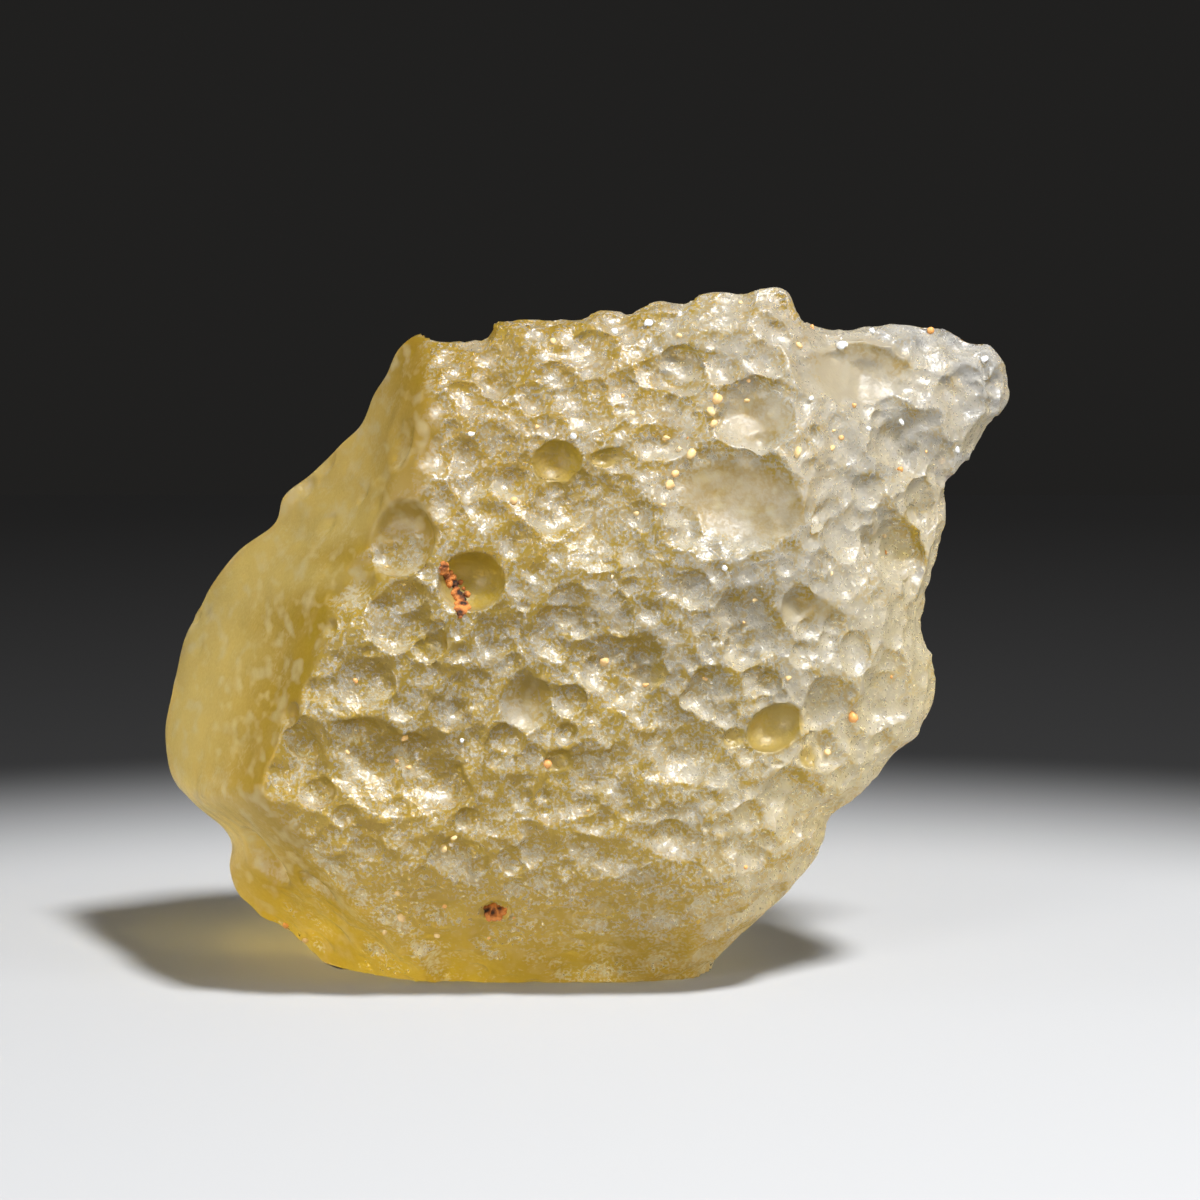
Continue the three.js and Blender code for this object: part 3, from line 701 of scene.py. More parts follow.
def dimple(points, smoother):
    """Carves the seeded dimples, each round into what the last one left."""
    for count, sizes, depths in DIMPLE_ROUNDS:
        normals = smoother.normals(points, DIMPLE_NORMAL_ROUNDS)
        chance = point_areas(points, smoother.faces) * roughened(points, normals)
        picked = rng.choice(len(points), count, replace=False, p=chance / chance.sum())
        find = finder(points)
        for k in picked:
            wide = rng.uniform(*sizes)
            tall = wide * rng.uniform(*DIMPLE_ROUNDNESS)
            deep = wide * rng.uniform(*depths)
            carve(points, hollow(points[k].copy(), normals[k], wide, tall, deep, rng.uniform(0, 180)), find)


def nearest_seen(points, normals, across, up):
    """Index of the front point that appears nearest to (across, up)."""
    away = ((seen_at(points) - (across, up)) ** 2).sum(1)
    away[normals @ VIEW_AHEAD > 0] = np.inf
    return int(away.argmin())


def carve_small(points, smoother):
    """Carves the small listed hollows into the face as it stands."""
    normals = smoother.normals(points, BROAD_NORMAL_ROUNDS)
    for across, up, *sizes in SMALL_HOLLOWS:
        k = nearest_seen(points, normals, across, up)
        carve(points, hollow(points[k].copy(), normals[k], *sizes))


def stone_mesh():
    """Points, faces and the smoother of the finished stone."""
    large = [front_hollow(*values) for values in LARGE_HOLLOWS]
    pits = [front_hollow(*values) for values in LARGE_PITS]
    small = [front_hollow(*values) for values in SMALL_HOLLOWS]
    fine = [pit for pit in pits + small if pit["wide"] < REFINE_BELOW]
    directions, faces = refined(*sphere(SPHERE_STEPS), fine)
    points = on_skin(directions)
    smoother = Smoother(len(points), faces)
    swell(points, normals_of(points, faces))
    for bowl in sorted(large + back_hollows(), key=lambda bowl: -bowl["wide"]):
        carve(points, bowl)
    normals = normals_of(points, faces)
    points += CREST_HEIGHT * on_crest(points, normals)[:, None] * normals
    dimple(points, smoother)
    for bowl, values in zip(large, LARGE_HOLLOWS):
        if values[:2] in CRISP_HOLLOWS:
            carve(points, {**bowl, "deep": bowl["deep"] + DIMPLED_AWAY})
    for pit in pits:
        carve(points, pit)
    carve_small(points, smoother)
    points[:, 2] = np.maximum(points[:, 2], 0)
    return points, faces, smoother


# Rounds of smoothing that a hollow is measured against, and the depth in millimetres that counts as 1.
HOLLOW_SCALES = {"cell": (14, 0.06), "bowl": (60, 0.3)}
SMOOTH_EDGE_ROUNDS = 5
PIT_EDGE_ROUNDS = 3
# A wall's lean is the difference between the skin's directions after these rounds and after many more.
WALL_ROUNDS = 1
LEAN_ROUNDS = 40
# Walls that face this way, towards the key light, get painted highlight, and walls turned away keep the
# golden glass as painted shade.
KEY_LIGHT_SIDE = np.array((0.5, 0.0, 0.85))
# Width of the deeper band of painted shade, where the glass is thick, that runs down the shoulder beside
# its sharp edge.
PAINTED_SHADE_BAND = 5.5


def in_pits(points):
    """1 in the pits, within the outlines that they show from in front, and 0 elsewhere."""
    near = np.zeros(len(points), bool)
    seen = np.zeros(len(points), bool)
    screen = seen_at(points)
    for across, up, wide, tall, deep, *turn in LARGE_PITS:
        at = front_point(across, up)
        near |= np.linalg.norm(points - at, axis=1) < math.hypot(wide, deep)
        seen |= in_oval(screen, across, up, wide, tall, *turn)
    return (near & seen).astype(float)


def painted_shade_beside_edge(points, normals):
    """1 on the shoulder at its sharp edge, where its painted shade is, and less away from it."""
    return (normals @ VIEW_AHEAD < 0) * (1 - smoothstep(left_of_edge(seen_at(points)), 0, PAINTED_SHADE_BAND))


def stone_attributes(points, smoother):
    """What the glass's material reads at each point of the skin.

    smooth, pit, deep and crest are 1 where the skin was left smooth, in the pits, beside the shoulder's
    edge, where deep paints shade, and on the crest. lean is how far a wall turns towards the key light,
    which its painted highlight and shade follow, and cell and bowl are how deep the point lies in a small
    and in a large hollow.
    """
    normals = smoother.normals(points, BROAD_NORMAL_ROUNDS)
    walls = smoother.rounds(normals_of(points, smoother.faces), WALL_ROUNDS)
    slow = unit(smoother.rounds(normals, LEAN_ROUNDS))
    values = {
        "smooth": smoother.rounds(1 - roughened(points, normals), SMOOTH_EDGE_ROUNDS),
        "pit": smoother.rounds(in_pits(points), PIT_EDGE_ROUNDS),
        "lean": (walls - slow) @ KEY_LIGHT_SIDE,
        "deep": smoother.rounds(painted_shade_beside_edge(points, normals), SMOOTH_EDGE_ROUNDS),
        "crest": on_crest(points, normals),
    }
    for label, (rounds, depth) in HOLLOW_SCALES.items():
        values[label] = ((smoother.rounds(points, rounds) - points) * normals).sum(1) / depth
    return values


def linked(name, data):
    """A new object in the scene."""
    made = bpy.data.objects.new(name, data)
    bpy.context.scene.collection.objects.link(made)
    return made


def mesh_object(name, points, faces, material, attributes):
    """A smooth-shaded object in the frame from layout points, with the values its material reads."""
    mesh = bpy.data.meshes.new(name)
    mesh.from_pydata(to_frame(points).tolist(), [], faces.tolist())
    mesh.shade_smooth()
    mesh.materials.append(material)
    for label, values in attributes.items():
        layer = mesh.attributes.new(label, "FLOAT", "POINT")
        layer.data.foreach_set("value", values.astype(np.float32))
    return linked(name, mesh)


# -------- materials

PER_METRE = 1 / MM


class Nodes:
    """The node tree of a new material, whose heights and lengths are in millimetres."""

    def __init__(self, name):
        self.material = bpy.data.materials.new(name)
        self.material.use_nodes = True
        self.tree = self.material.node_tree
        self.shader = self.tree.nodes["Principled BSDF"]
        self.output = self.tree.nodes["Material Output"]
        place = self.add("ShaderNodeTexCoord").outputs["Object"]
        scaled = self.add("ShaderNodeVectorMath", {0: place, 3: PER_METRE}, operation="SCALE")
        self.place = scaled.outputs[0]
        self.axes = self.add("ShaderNodeSeparateXYZ", {0: self.place}).outputs

    def add(self, kind, inputs=None, **settings):
        """A new node, with its inputs and its settings."""
        made = self.tree.nodes.new(kind)
        for name, value in settings.items():
            setattr(made, name, value)
        for name, value in (inputs or {}).items():
            self.feed(made.inputs[name], value)
        return made

    def feed(self, socket, value):
        """Links a socket to another, or sets its value."""
        if isinstance(value, bpy.types.NodeSocket):
            self.tree.links.new(value, socket)
        else:
            socket.default_value = value

    def math(self, operation, a, b=0.0, c=0.0):
        """A sum, product or other reckoning with two or three values."""
        return self.add("ShaderNodeMath", {0: a, 1: b, 2: c}, operation=operation).outputs[0]

    def attribute(self, label):
        """The values that the mesh carries under a name."""
        return self.add("ShaderNodeAttribute", attribute_name=label).outputs["Fac"]

    def noise(self, width, detail=2.0, roughness=0.5, place=None):
        """Soft noise round 0.5, with lumps about as wide as width."""
        place = self.place if place is None else place
        values = {"Vector": place, "Scale": 1 / width, "Detail": detail, "Roughness": roughness}
        return self.add("ShaderNodeTexNoise", values).outputs["Fac"]

    def ramp(self, value, low, high, start=0.0, end=1.0):
        """From start to end as a value goes from low to high, and no further."""
        values = {"Value": value, "From Min": low, "From Max": high, "To Min": start, "To Max": end}
        return self.add("ShaderNodeMapRange", values).outputs["Result"]

    def mixed(self, shares, **values):
        """The sum of some values, each times its share, on top of what shares has under start."""
        total = shares.get("start", 0.0)
        for name, value in values.items():
            total = self.math("MULTIPLY_ADD", value, shares[name], total)
        return total

    def blend(self, factor, first, second):
        """From a first colour to a second one, each a socket or three numbers."""
        made = self.add("ShaderNodeMix", data_type="RGBA")
        self.feed(made.inputs["Factor"], factor)
        for name, colour in (("A", first), ("B", second)):
            made_already = isinstance(colour, bpy.types.NodeSocket)
            self.feed(made.inputs[name], colour if made_already else (*colour, 1))
        return made.outputs["Result"]

    def bump(self, height):
        """The skin's direction, roughened by a height."""
        made = self.add("ShaderNodeBump", {"Strength": 1.0, "Distance": MM, "Height": height})
        return made.outputs["Normal"]

    def set(self, **values):
        """Sets the shader's inputs, named with _ for a space."""
        for name, value in values.items():
            self.feed(self.shader.inputs[name.replace("_", " ")], value)


# The glass: clear inside, and coloured by what it absorbs on each metre of the way through.
GLASS_CLEARNESS = 0.83
GLASS_IOR = 1.48
ABSORPTION_COLOUR = (0.97, 0.84, 0.1)
ABSORPTION_DENSITY = 14.0
# The wind's polish, a soft shine over the grain.
POLISH = 0.2
POLISH_ROUGHNESS = 0.4

# The skin's colours: the white of the frost and of painted highlights, the golden glass between it, the
# smooth shoulder and its cream spots, the deep band beside the shoulder's edge, which is painted shade
# and the foot's colour too, and inside the pits.
FROST_AND_HIGHLIGHT = (0.98, 0.955, 0.90)
BODY = (0.72, 0.49, 0.04)
SHOULDER = (0.95, 0.76, 0.24)
CREAM = (0.98, 0.86, 0.50)
DEEP = (0.60, 0.38, 0.005)
PIT = (0.74, 0.52, 0.03)
PIT_SHARE = 0.8

# Widths of the skin's noises, the share of the grain that is finer still, and how many of the
# shoulder's spots there are to a millimetre.
GRAIN_WIDTH = 0.22
GRAIN_FINER = 0.6
PATCH_WIDTH = 0.6
MOTTLE_WIDTH = 1.4
SPOTS_PER_MM = 1.1
# The spots are drawn out in depth.
SPOT_STRETCH = (1.0, 0.45, 1.0)

# Where a ramp starts and ends: on values of the attributes and noises, and on places in the stone.
SMOOTH_RANGE = (0.2, 0.9)
CELL_RANGE = (-1.2, 1.5)
NOISE_RANGE = (0.35, 0.65)
WHITE_GRAIN_RANGE = (0.45, 0.62)
SPOT_RANGE = (0.5, 0.7)
# The next two ramps are painted light: the skin gets paler to the right, where the key light falls.
PAINTED_LIGHT_TO_RIGHT = (-20.0, 22.0)
PAINTED_LIGHT_RIGHT_SIDE = (2.0, 16.0)
UPWARDS = (0.0, 38.0)
# The foot is golden, most of all at its lowest and on the left.
FOOT_DOWNWARDS = (8.0, 1.0)
FOOT_TO_RIGHT = (-9.0, 6.0)
FOOT_MOST = 0.8
FOOT_ON_RIGHT = 0.1

# What each cause adds to the white, which is full at 1. grain, patches, mottle and crest whiten it as the
# blasting's frost, the grain partly as painted glints; lean and cell are painted highlight, on walls that
# face the key light and in the floors of small hollows, and low lean leaves painted shade; the two ramps
# to the right are painted light; upwards makes it paler higher up.
FROST_AND_HIGHLIGHT_SHARES = {
    "grain": 1.0, "lean": 1.3, "cell": 0.35, "patches": 0.3, "crest": 0.5, "mottle": 0.35,
    "left_to_right": 0.6, "right_side": 0.7, "upwards": 0.35, "smooth": -0.1, "foot": -0.5, "start": -0.97,
}
# How much of the white grain, and of all the frost and painted highlight, is left where the skin is smooth.
SMOOTH_GRAIN = 0.3
SMOOTH_FROST_AND_HIGHLIGHT = 0.6
SPOT_SHARES = {"spots": 0.8, "mottle": 0.3, "start": -0.15}

# Heights of the grain where the skin is smooth and where it is rough, and of the mottle.
GRAIN_HEIGHTS = (0.015, 0.055)
MOTTLE_HEIGHT = 0.07
# Low grain is rougher than high grain, which glints.
GLINT_RANGE = (0.3, 0.7)
GLINT_ROUGHNESS = (0.48, 0.24)
SMOOTH_ROUGHER = 0.2


def frost_and_highlight_on(nodes, grain, mottle, smooth, foot):
    """How white the skin is: frosting on its grain, and painted highlight on walls lit by the key and to
    the right.
    """
    white_grain = nodes.ramp(grain, *WHITE_GRAIN_RANGE)
    frost_and_highlight = nodes.mixed(
        FROST_AND_HIGHLIGHT_SHARES,
        grain=nodes.math("MULTIPLY", white_grain, nodes.ramp(smooth, 0, 1, 1, SMOOTH_GRAIN)),
        # lean: painted highlight on walls facing the key light, and painted shade on walls turned away.
        lean=nodes.attribute("lean"),
        # cell: painted highlight in the floors of small hollows.
        cell=nodes.ramp(nodes.attribute("cell"), *CELL_RANGE),
        patches=nodes.ramp(nodes.noise(PATCH_WIDTH, detail=0), *NOISE_RANGE),
        crest=nodes.attribute("crest"),
        mottle=nodes.ramp(mottle, *NOISE_RANGE),
        # The two ramps to the right are painted light, paler where the key light falls.
        left_to_right=nodes.ramp(nodes.axes["X"], *PAINTED_LIGHT_TO_RIGHT),
        right_side=nodes.ramp(nodes.axes["X"], *PAINTED_LIGHT_RIGHT_SIDE),
        upwards=nodes.ramp(nodes.axes["Z"], *UPWARDS),
        smooth=smooth,
        foot=foot,
    )
    return nodes.math("MULTIPLY", nodes.ramp(frost_and_highlight, 0, 1), nodes.ramp(smooth, 0, 1, 1, SMOOTH_FROST_AND_HIGHLIGHT))


def skin_colour(nodes, frost_and_highlight, mottle, smooth, foot):
    """Frosting and painted highlight over the golden glass, with the shoulder's painted shade, the foot and
    pits.
    """
    stretched = nodes.add("ShaderNodeVectorMath", {0: nodes.place, 1: SPOT_STRETCH}, operation="MULTIPLY")
    spots = nodes.ramp(nodes.noise(1 / SPOTS_PER_MM, detail=1, place=stretched.outputs[0]), *SPOT_RANGE)
    spots = nodes.mixed(SPOT_SHARES, spots=spots, mottle=mottle)
    # The deep band beside the shoulder's edge is painted shade, where the glass is thick.
    shoulder = nodes.blend(nodes.attribute("deep"), SHOULDER, DEEP)
    shoulder = nodes.blend(nodes.ramp(spots, 0, 1), shoulder, CREAM)
    colour = nodes.blend(smooth, BODY, shoulder)
    colour = nodes.blend(foot, colour, DEEP)
    # The white is partly frost and partly painted highlight; where it is missing on walls turned from the
    # light, the golden glass stands as painted shade.
    colour = nodes.blend(frost_and_highlight, colour, FROST_AND_HIGHLIGHT)
    return nodes.blend(nodes.math("MULTIPLY", nodes.attribute("pit"), PIT_SHARE), colour, PIT)


def glass_material():
    """Impact glass: clear yellow inside, its sandblasted skin frosted white, with painted highlight and
    shade.
    """
    nodes = Nodes("blasted_impact_glass")
    smooth = nodes.ramp(nodes.attribute("smooth"), *SMOOTH_RANGE)
    grain = nodes.noise(GRAIN_WIDTH, detail=1, roughness=GRAIN_FINER)
    mottle = nodes.noise(MOTTLE_WIDTH, detail=0)
    low = nodes.ramp(nodes.axes["Z"], *FOOT_DOWNWARDS, 0, FOOT_MOST)
    foot = nodes.math("MULTIPLY", low, nodes.ramp(nodes.axes["X"], *FOOT_TO_RIGHT, 1, FOOT_ON_RIGHT))
    # The white of the frost and of painted highlight.
    frost_and_highlight = frost_and_highlight_on(nodes, grain, mottle, smooth, foot)
    grain_height = nodes.ramp(nodes.math("SUBTRACT", 1.0, smooth), 0, 1, *GRAIN_HEIGHTS)
    height = nodes.math("MULTIPLY_ADD", mottle, MOTTLE_HEIGHT, nodes.math("MULTIPLY", grain, grain_height))
    roughness = nodes.ramp(grain, *GLINT_RANGE, *GLINT_ROUGHNESS)
    nodes.set(
        Base_Color=skin_colour(nodes, frost_and_highlight, mottle, smooth, foot),
        Roughness=nodes.math("MULTIPLY_ADD", smooth, SMOOTH_ROUGHER, roughness),
        Normal=nodes.bump(height),
        Transmission_Weight=GLASS_CLEARNESS,
        IOR=GLASS_IOR,
        Coat_Weight=POLISH,
        Coat_Roughness=POLISH_ROUGHNESS,
    )
    values = {"Color": (*ABSORPTION_COLOUR, 1), "Density": ABSORPTION_DENSITY}
    absorption = nodes.add("ShaderNodeVolumeAbsorption", values)
    nodes.feed(nodes.output.inputs["Volume"], absorption.outputs["Volume"])
    return nodes.material


# -------- the stone

stone_points, stone_faces, stone_smoother = stone_mesh()
stone_normals = normals_of(stone_points, stone_faces)
stone_values = stone_attributes(stone_points, stone_smoother)
stone = mesh_object("tektite_glass_fine", stone_points, stone_faces, glass_material(), stone_values)
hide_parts("tektite_glass")
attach(stone, "root")

# -------- soil and sand

# Crumbs of soil along the places that appear at (across, up), with the crust's half-width there.
UPPER_SOIL = (
    (-9.5, 2.05, 0.2), (-9.2, 1.5, 0.27), (-8.85, 0.9, 0.27), (-8.55, 0.35, 0.27), (-8.2, 0.05, 0.34),
    (-8.25, -0.45, 0.3), (-8.4, -0.8, 0.2),
)
LOWER_SOIL = ((-6.75, -18.6, 0.3), (-6.4, -18.75, 0.42), (-6.0, -18.55, 0.36))
CRUMBS_PER_MM = 70
CRUMB_SIZE = (0.1, 0.26)
CRUMB_GRID = 0.035
CRUMB_ROUGHNESS = 0.03
CRUMB_NOISE_WIDTH = 0.12
# Distance from the crust's middle line that its material reads as 1.
CRUST_REACH = 0.5

# Sand grains stuck to the face: across, up, half-size, tone from -1, clear white, over 0, cream, to 1,
# orange. The clear white ones stand where glints shine, and their white is partly a painted glint.
STUCK_SAND = (
    (7.0, 12.1, 0.36, 0.3), (6.7, 11.3, 0.26, 0.1), (6.7, 10.6, 0.22, 0.2), (4.0, 9.8, 0.28, 0.1),
    (4.8, 9.1, 0.24, -0.1), (5.4, 8.8, 0.32, 0.0), (4.4, 7.6, 0.28, 0.3), (4.1, 7.0, 0.38, 0.2),
    (8.8, 12.1, 0.16, 0.2), (3.7, 5.7, 0.18, 0.1), (11.8, 8.9, 0.34, 0.0), (-5.2, 5.9, 0.3, 0.3),
    (-3.8, 10.3, 0.18, 0.3), (-2.8, 15.5, 0.2, 0.1), (0.4, -3.6, 0.34, 0.2), (6.2, -4.8, 0.16, 0.3),
    (-15.0, -9.1, 0.18, 0.2), (-11.6, -8.3, 0.2, 0.3), (-11.5, -10.2, 0.18, 0.4), (-9.4, -14.9, 0.26, 0.0),
    (-8.9, -14.3, 0.22, 0.1), (-3.2, -9.9, 0.3, 0.8), (11.2, -4.7, 0.2, 0.2), (15.2, -7.0, 0.34, 0.9),
    (13.6, -9.1, 0.2, 0.2), (-12.2, -17.5, 0.22, 0.1), (-12.0, -19.0, 0.26, 0.2), (-12.9, -19.8, 0.24, 0.1),
    (-9.7, -20.1, 0.2, 0.1), (-18.9, -19.4, 0.26, 0.9), (-17.7, -20.3, 0.2, 0.2), (13.9, 9.1, 0.16, 0.2),
    (13.9, 10.2, 0.14, 0.1), (12.0, 15.3, 0.22, 0.2), (18.0, 7.8, 0.2, 0.9), (19.8, 16.2, 0.22, 0.8),
    # clear ones, which glint, and whose white is partly a painted glint
    (14.5, 15.2, 0.3, -1), (16.3, 16.1, 0.26, -1), (12.7, 12.0, 0.2, -1), (21.4, 9.0, 0.22, -1),
    (19.9, 4.8, 0.2, -1), (18.0, 10.8, 0.22, -1), (16.1, 10.4, 0.22, -1), (23.0, 14.5, 0.26, -1),
    (2.9, 16.6, 0.26, -1), (0.8, 16.1, 0.28, -1), (-7.8, 9.9, 0.2, -1), (-1.6, 9.8, 0.22, -1),
    (7.4, 2.0, 0.18, -1), (-8.3, -8.5, 0.18, -1),
)
LOOSE_COUNT = 50
LOOSE_SIZE = (0.09, 0.2)
LOOSE_TONE = (-0.3, 0.7)
# Loose grains gather in the large hollows, up to this depth, and not where the skin is smooth.
LOOSE_DEPTH = (0, 1.5)
LOOSE_SMOOTH = 0.5
# Every point has some chance, so that there are always enough to pick from.
LEAST_CHANCE = 1e-9
# How high a sand grain's middle stands over the skin, and its own shape, as shares of its size.
SAND_RISE = 0.1
SAND_STRETCH = (0.55, 1.2)
SAND_LUMPS = 0.5
# Rounds in which a crumb's or a grain's ball is made finer.
BALL_DETAIL = 2


def ball_mesh(detail):
    """Points and faces of an even ball of radius 1."""
    ball = bmesh.new()
    bmesh.ops.create_icosphere(ball, subdivisions=detail, radius=1)
    points = np.array([vertex.co[:] for vertex in ball.verts])
    faces = np.array([[vertex.index for vertex in face.verts] for face in ball.faces])
    ball.free()
    return points, faces


def joined(parts):
    """Several (points, faces) as one."""
    start = np.cumsum([0] + [len(points) for points, _ in parts[:-1]])
    faces = np.concatenate([faces + first for (_, faces), first in zip(parts, start)])
    return np.concatenate([points for points, _ in parts]), faces


def fused(points, faces, grid):
    """Overlapping closed meshes as one skin."""
    mesh = bpy.data.meshes.new("lumps")
    mesh.from_pydata(points.tolist(), [], faces.tolist())
    lumps = linked("lumps", mesh)
    modifier = lumps.modifiers.new("fuse", "REMESH")
    modifier.mode = "VOXEL"
    modifier.voxel_size = grid
    whole = lumps.evaluated_get(bpy.context.evaluated_depsgraph_get()).to_mesh()
    whole.calc_loop_triangles()
    found = read_points(whole)
    triangles = np.array([triangle.vertices[:] for triangle in whole.loop_triangles])
    bpy.data.objects.remove(lumps)
    bpy.data.meshes.remove(mesh)
    return found, triangles


def crust(name, spine, node):
    """Dry soil in a pit: crumbs along a line on the pit's wall, fused, in place of a node."""
    line = np.array([
        stone_points[nearest_seen(stone_points, stone_normals, across, up)] for across, up, _ in spine
    ])
    steps = np.arange(len(spine))
    length = np.linalg.norm(np.diff(line, axis=0), axis=1).sum()
    ball, faces = ball_mesh(BALL_DETAIL)
    crumbs = []
    for _ in range(round(CRUMBS_PER_MM * length)):
        at = rng.uniform(0, len(spine) - 1)
        middle = np.array([np.interp(at, steps, line[:, axis]) for axis in range(3)])
        spread = np.interp(at, steps, [half_width for _, _, half_width in spine])
        offset = rng.normal(size=3)
        offset *= spread * math.sqrt(rng.uniform()) / np.linalg.norm(offset)
        nearest = ((stone_points - middle - offset) ** 2).sum(1).argmin()
        crumbs.append((stone_points[nearest] + ball * rng.uniform(*CRUMB_SIZE), faces))
    points, faces = fused(*joined(crumbs), CRUMB_GRID)
    outward = normals_of(points, faces)
    rise = [noise.noise(Vector(point) / CRUMB_NOISE_WIDTH) for point in points.tolist()]
    points = points + CRUMB_ROUGHNESS * np.array(rise)[:, None] * outward
    away = np.linalg.norm(points[:, None] - line[None], axis=2)
    values = {"along": away.argmin(1) / (len(spine) - 1), "aside": away.min(1) / CRUST_REACH}
    made = mesh_object(name, points, faces, soil_material(), values)
    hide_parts(node)
    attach(made, "root")


def sand_grain(k, size, ball, faces):
    """A lumpy sand grain half sunk into the stone at its point k."""
    stretch = size * rng.uniform(*SAND_STRETCH, 3)
    shift = Vector(stone_points[k])
    lumps = 1 + SAND_LUMPS * np.array([noise.noise(Vector(point) + shift) for point in ball])
    turn = np.linalg.qr(rng.normal(size=(3, 3)))[0]
    turn *= np.linalg.det(turn)
    points = (ball * lumps[:, None] * stretch) @ turn.T
    return points + stone_points[k] + stone_normals[k] * size * SAND_RISE, faces


def sand():
    """Every sand grain, as one mesh."""
    ball, faces = ball_mesh(BALL_DETAIL)
    parts, tones = [], []
    for across, up, size, tone in STUCK_SAND:
        parts.append(sand_grain(nearest_seen(stone_points, stone_normals, across, up), size, ball, faces))
        tones.append(np.full(len(ball), float(tone)))
    chance = np.clip(stone_values["bowl"], *LOOSE_DEPTH) * (stone_values["smooth"] < LOOSE_SMOOTH)
    chance += LEAST_CHANCE
    for k in rng.choice(len(stone_points), LOOSE_COUNT, replace=False, p=chance / chance.sum()):
        parts.append(sand_grain(k, rng.uniform(*LOOSE_SIZE), ball, faces))
        tones.append(np.full(len(ball), rng.uniform(*LOOSE_TONE)))
    made = mesh_object("sand_grains", *joined(parts), sand_material(), {"tone": np.concatenate(tones)})
    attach(made, "root")


SOIL_BLACK = (0.022, 0.011, 0.006)
SOIL_BROWN = (0.26, 0.075, 0.014)
SOIL_ORANGE = (0.64, 0.23, 0.05)
SOIL_BROWN_RANGE = (0.92, 1.08)
SOIL_ORANGE_RANGE = (1.08, 1.35)
# The share of the crust's length at which it is blackest, and what makes it an edge.
SOIL_MIDDLE = 0.55
SOIL_EDGE_SHARES = {"aside": 0.9, "blots": 0.8, "end": 0.5}
SOIL_BLOT_WIDTH = 0.5
SOIL_GRIT_WIDTH = 0.08
SOIL_GRIT_HEIGHT = 0.05
SOIL_GRIT_RANGE = (0.3, 0.7)
SOIL_ROUGHNESS = (0.95, 0.75)

SAND_WHITE_AND_GLINT = (0.85, 0.86, 0.86)
SAND_CREAM = (0.82, 0.60, 0.28)
SAND_ORANGE = (0.78, 0.36, 0.10)
SAND_WHITE_RANGE = (-0.6, 0.0)
SAND_ORANGE_RANGE = (0.5, 1.2)
SAND_BLOT_WIDTH = 0.25
SAND_BLOT_SHARE = 0.8
SAND_BLOT_HEIGHT = 0.05
SAND_ROUGH_RANGE = (-0.8, 0.0)
SAND_ROUGHNESS = (0.12, 0.45)


def soil_material():
    """Dry soil: black in the middle of the crust, rust brown and orange at its edges and its foot."""
    nodes = Nodes("dry_rust_soil")
    blots = nodes.noise(SOIL_BLOT_WIDTH, detail=3)
    grit = nodes.noise(SOIL_GRIT_WIDTH, detail=3)
    end = nodes.math("ABSOLUTE", nodes.math("SUBTRACT", nodes.attribute("along"), SOIL_MIDDLE))
    edge = nodes.mixed(SOIL_EDGE_SHARES, aside=nodes.attribute("aside"), blots=blots, end=end)
    colour = nodes.blend(nodes.ramp(edge, *SOIL_BROWN_RANGE), SOIL_BLACK, SOIL_BROWN)
    nodes.set(
        Base_Color=nodes.blend(nodes.ramp(edge, *SOIL_ORANGE_RANGE), colour, SOIL_ORANGE),
        Roughness=nodes.ramp(grit, *SOIL_GRIT_RANGE, *SOIL_ROUGHNESS),
        Normal=nodes.bump(nodes.math("MULTIPLY", grit, SOIL_GRIT_HEIGHT)),
    )
    return nodes.material


def sand_material():
    """Sand: cream and orange grains, and some of clear white quartz, whose white is partly a painted glint.
    """
    nodes = Nodes("desert_sand")
    tone = nodes.attribute("tone")
    blots = nodes.noise(SAND_BLOT_WIDTH)
    colour = nodes.blend(nodes.ramp(tone, *SAND_WHITE_RANGE), SAND_WHITE_AND_GLINT, SAND_CREAM)
    warmth = nodes.math("MULTIPLY_ADD", blots, SAND_BLOT_SHARE, tone)
    nodes.set(
        Base_Color=nodes.blend(nodes.ramp(warmth, *SAND_ORANGE_RANGE), colour, SAND_ORANGE),
        Roughness=nodes.ramp(tone, *SAND_ROUGH_RANGE, *SAND_ROUGHNESS),
        Normal=nodes.bump(nodes.math("MULTIPLY", blots, SAND_BLOT_HEIGHT)),
    )
    return nodes.material


crust("soil_crust_fine", UPPER_SOIL, "soil_in_upper_pit")
crust("soil_plug_fine", LOWER_SOIL, "soil_in_lower_pit")
sand()

# -------- stage

# Sizes and places in metres.
FLOOR_SIZE = 0.4
FLOOR_DROP = 0.00002
# The floor is pale round the stone and fades to dark away from it: distances in millimetres.
FLOOR_MIDDLE = (0.0, -50.0, 0.0)
FLOOR_FADE = (80.0, 124.0)
FLOOR_END = 240.0
FLOOR_PALE = (0.48, 0.485, 0.495)
FLOOR_DARK = (0.026, 0.026, 0.0265)
FLOOR_FAR = (0.014, 0.0137, 0.0135)
FLOOR_ROUGHNESS = 0.7
FLOOR_SHINE = 0.1

# Square lights: place, aim, side and power in watts.
LIGHTS = {
    "key": ((0.14, -0.155, 0.4), (0, 0, 0.015), 0.07, 3.1),
    "fill": ((-0.28, -0.43, 0.14), (0, 0, 0.02), 0.16, 1.3),
    "left": ((-0.45, -0.05, 0.1), (0, 0, 0.02), 0.16, 0.45),
    "right": ((0.42, -0.2, 0.16), (0, 0, 0.02), 0.16, 0.75),
}
STUDIO_COLOUR = (0.0148, 0.0144, 0.0138)

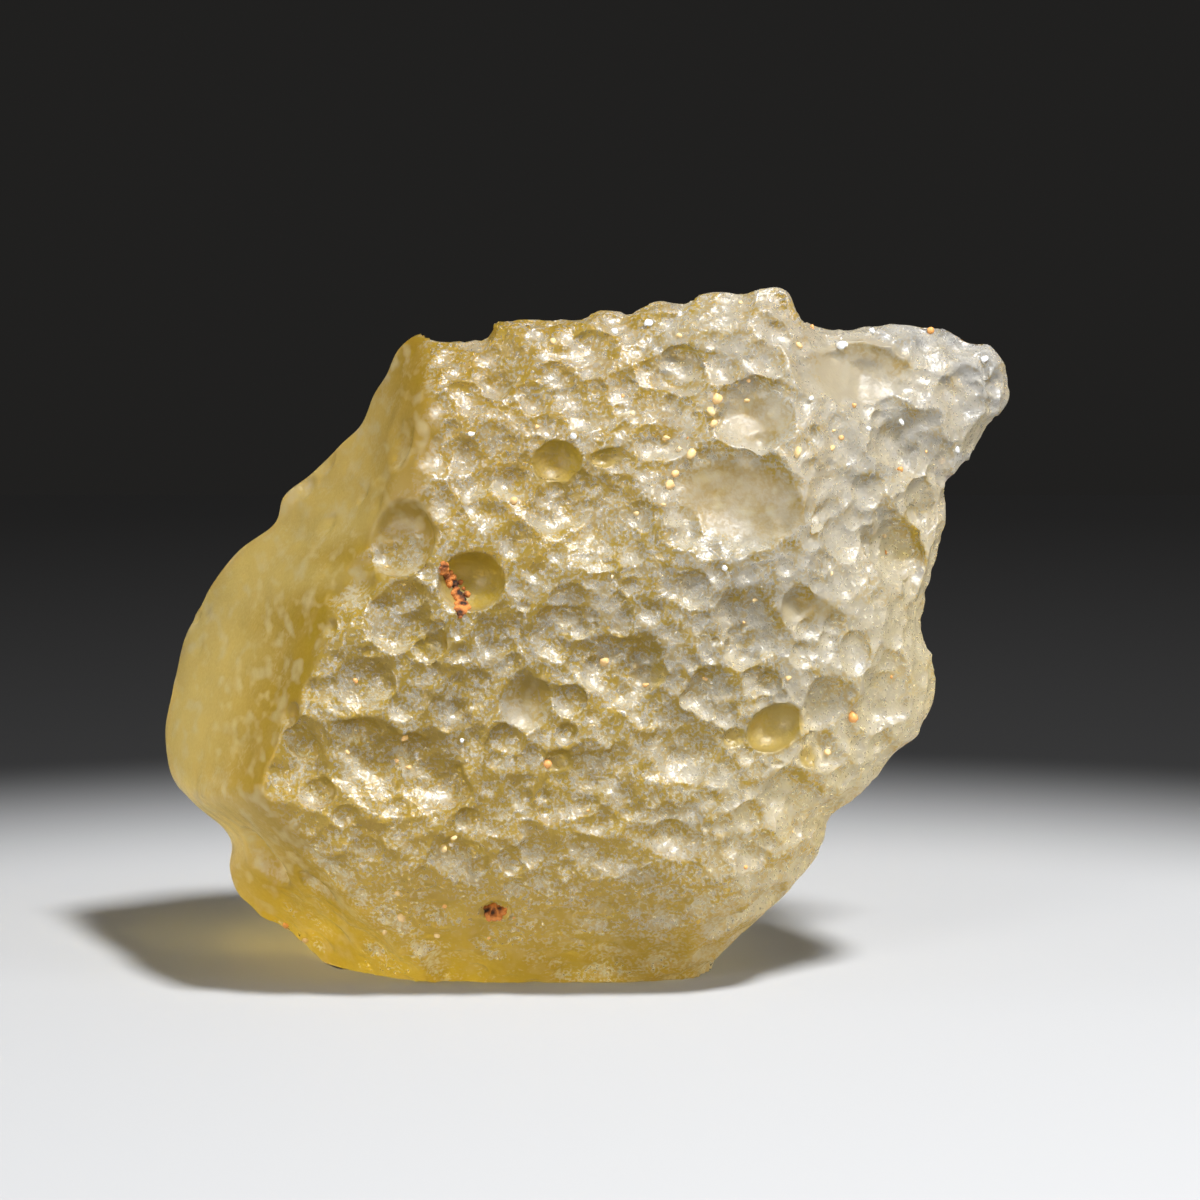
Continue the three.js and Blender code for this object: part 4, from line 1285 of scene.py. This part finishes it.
# The camera's sensor and lens in millimetres, and the nearest that it sees in metres.
SENSOR_WIDTH = 36
LENS = 200
NEAREST_SEEN = 0.01


def floor_material():
    """A pale table that fades to dark behind the stone."""
    nodes = Nodes("pale_floor")
    shift = nodes.add("ShaderNodeVectorMath", {0: nodes.place, 1: FLOOR_MIDDLE}, operation="SUBTRACT")
    away = nodes.add("ShaderNodeVectorMath", {0: shift.outputs[0]}, operation="LENGTH").outputs["Value"]
    values = {"Value": away, "From Min": FLOOR_FADE[0], "From Max": FLOOR_FADE[1]}
    fade = nodes.add("ShaderNodeMapRange", values, interpolation_type="SMOOTHSTEP").outputs["Result"]
    dark = nodes.blend(nodes.ramp(away, FLOOR_FADE[1], FLOOR_END), FLOOR_DARK, FLOOR_FAR)
    nodes.set(
        Base_Color=nodes.blend(fade, FLOOR_PALE, dark),
        Roughness=FLOOR_ROUGHNESS,
        Specular_IOR_Level=FLOOR_SHINE,
    )
    return nodes.material


def area_light(name, place, aim, side, power):
    """A square light at a place, turned to its aim."""
    lamp = bpy.data.lights.new(name, "AREA")
    lamp.energy = power
    lamp.size = side
    made = linked(name, lamp)
    made.location = place
    made.rotation_euler = (Vector(aim) - Vector(place)).to_track_quat("-Z", "Y").to_euler()


bpy.ops.mesh.primitive_plane_add(size=FLOOR_SIZE, location=(0, 0, -FLOOR_DROP))
floor = bpy.context.object
floor.name = "floor"
floor.data.materials.append(floor_material())

for light, values in LIGHTS.items():
    area_light(light, *values)

world = bpy.data.worlds.new("studio")
bpy.context.scene.world = world
world.use_nodes = True
world.node_tree.nodes["Background"].inputs["Color"].default_value = (*STUDIO_COLOUR, 1)

bpy.context.scene.view_settings.view_transform = "Standard"

camera_data = bpy.data.cameras.new("camera")
camera_data.sensor_width = SENSOR_WIDTH
camera_data.lens = LENS
camera_data.clip_start = NEAREST_SEEN
camera = linked("camera", camera_data)
camera.location = to_frame(EYE)
camera.rotation_euler = (math.pi / 2 - EYE_TILT, 0, 0)
bpy.context.scene.camera = camera
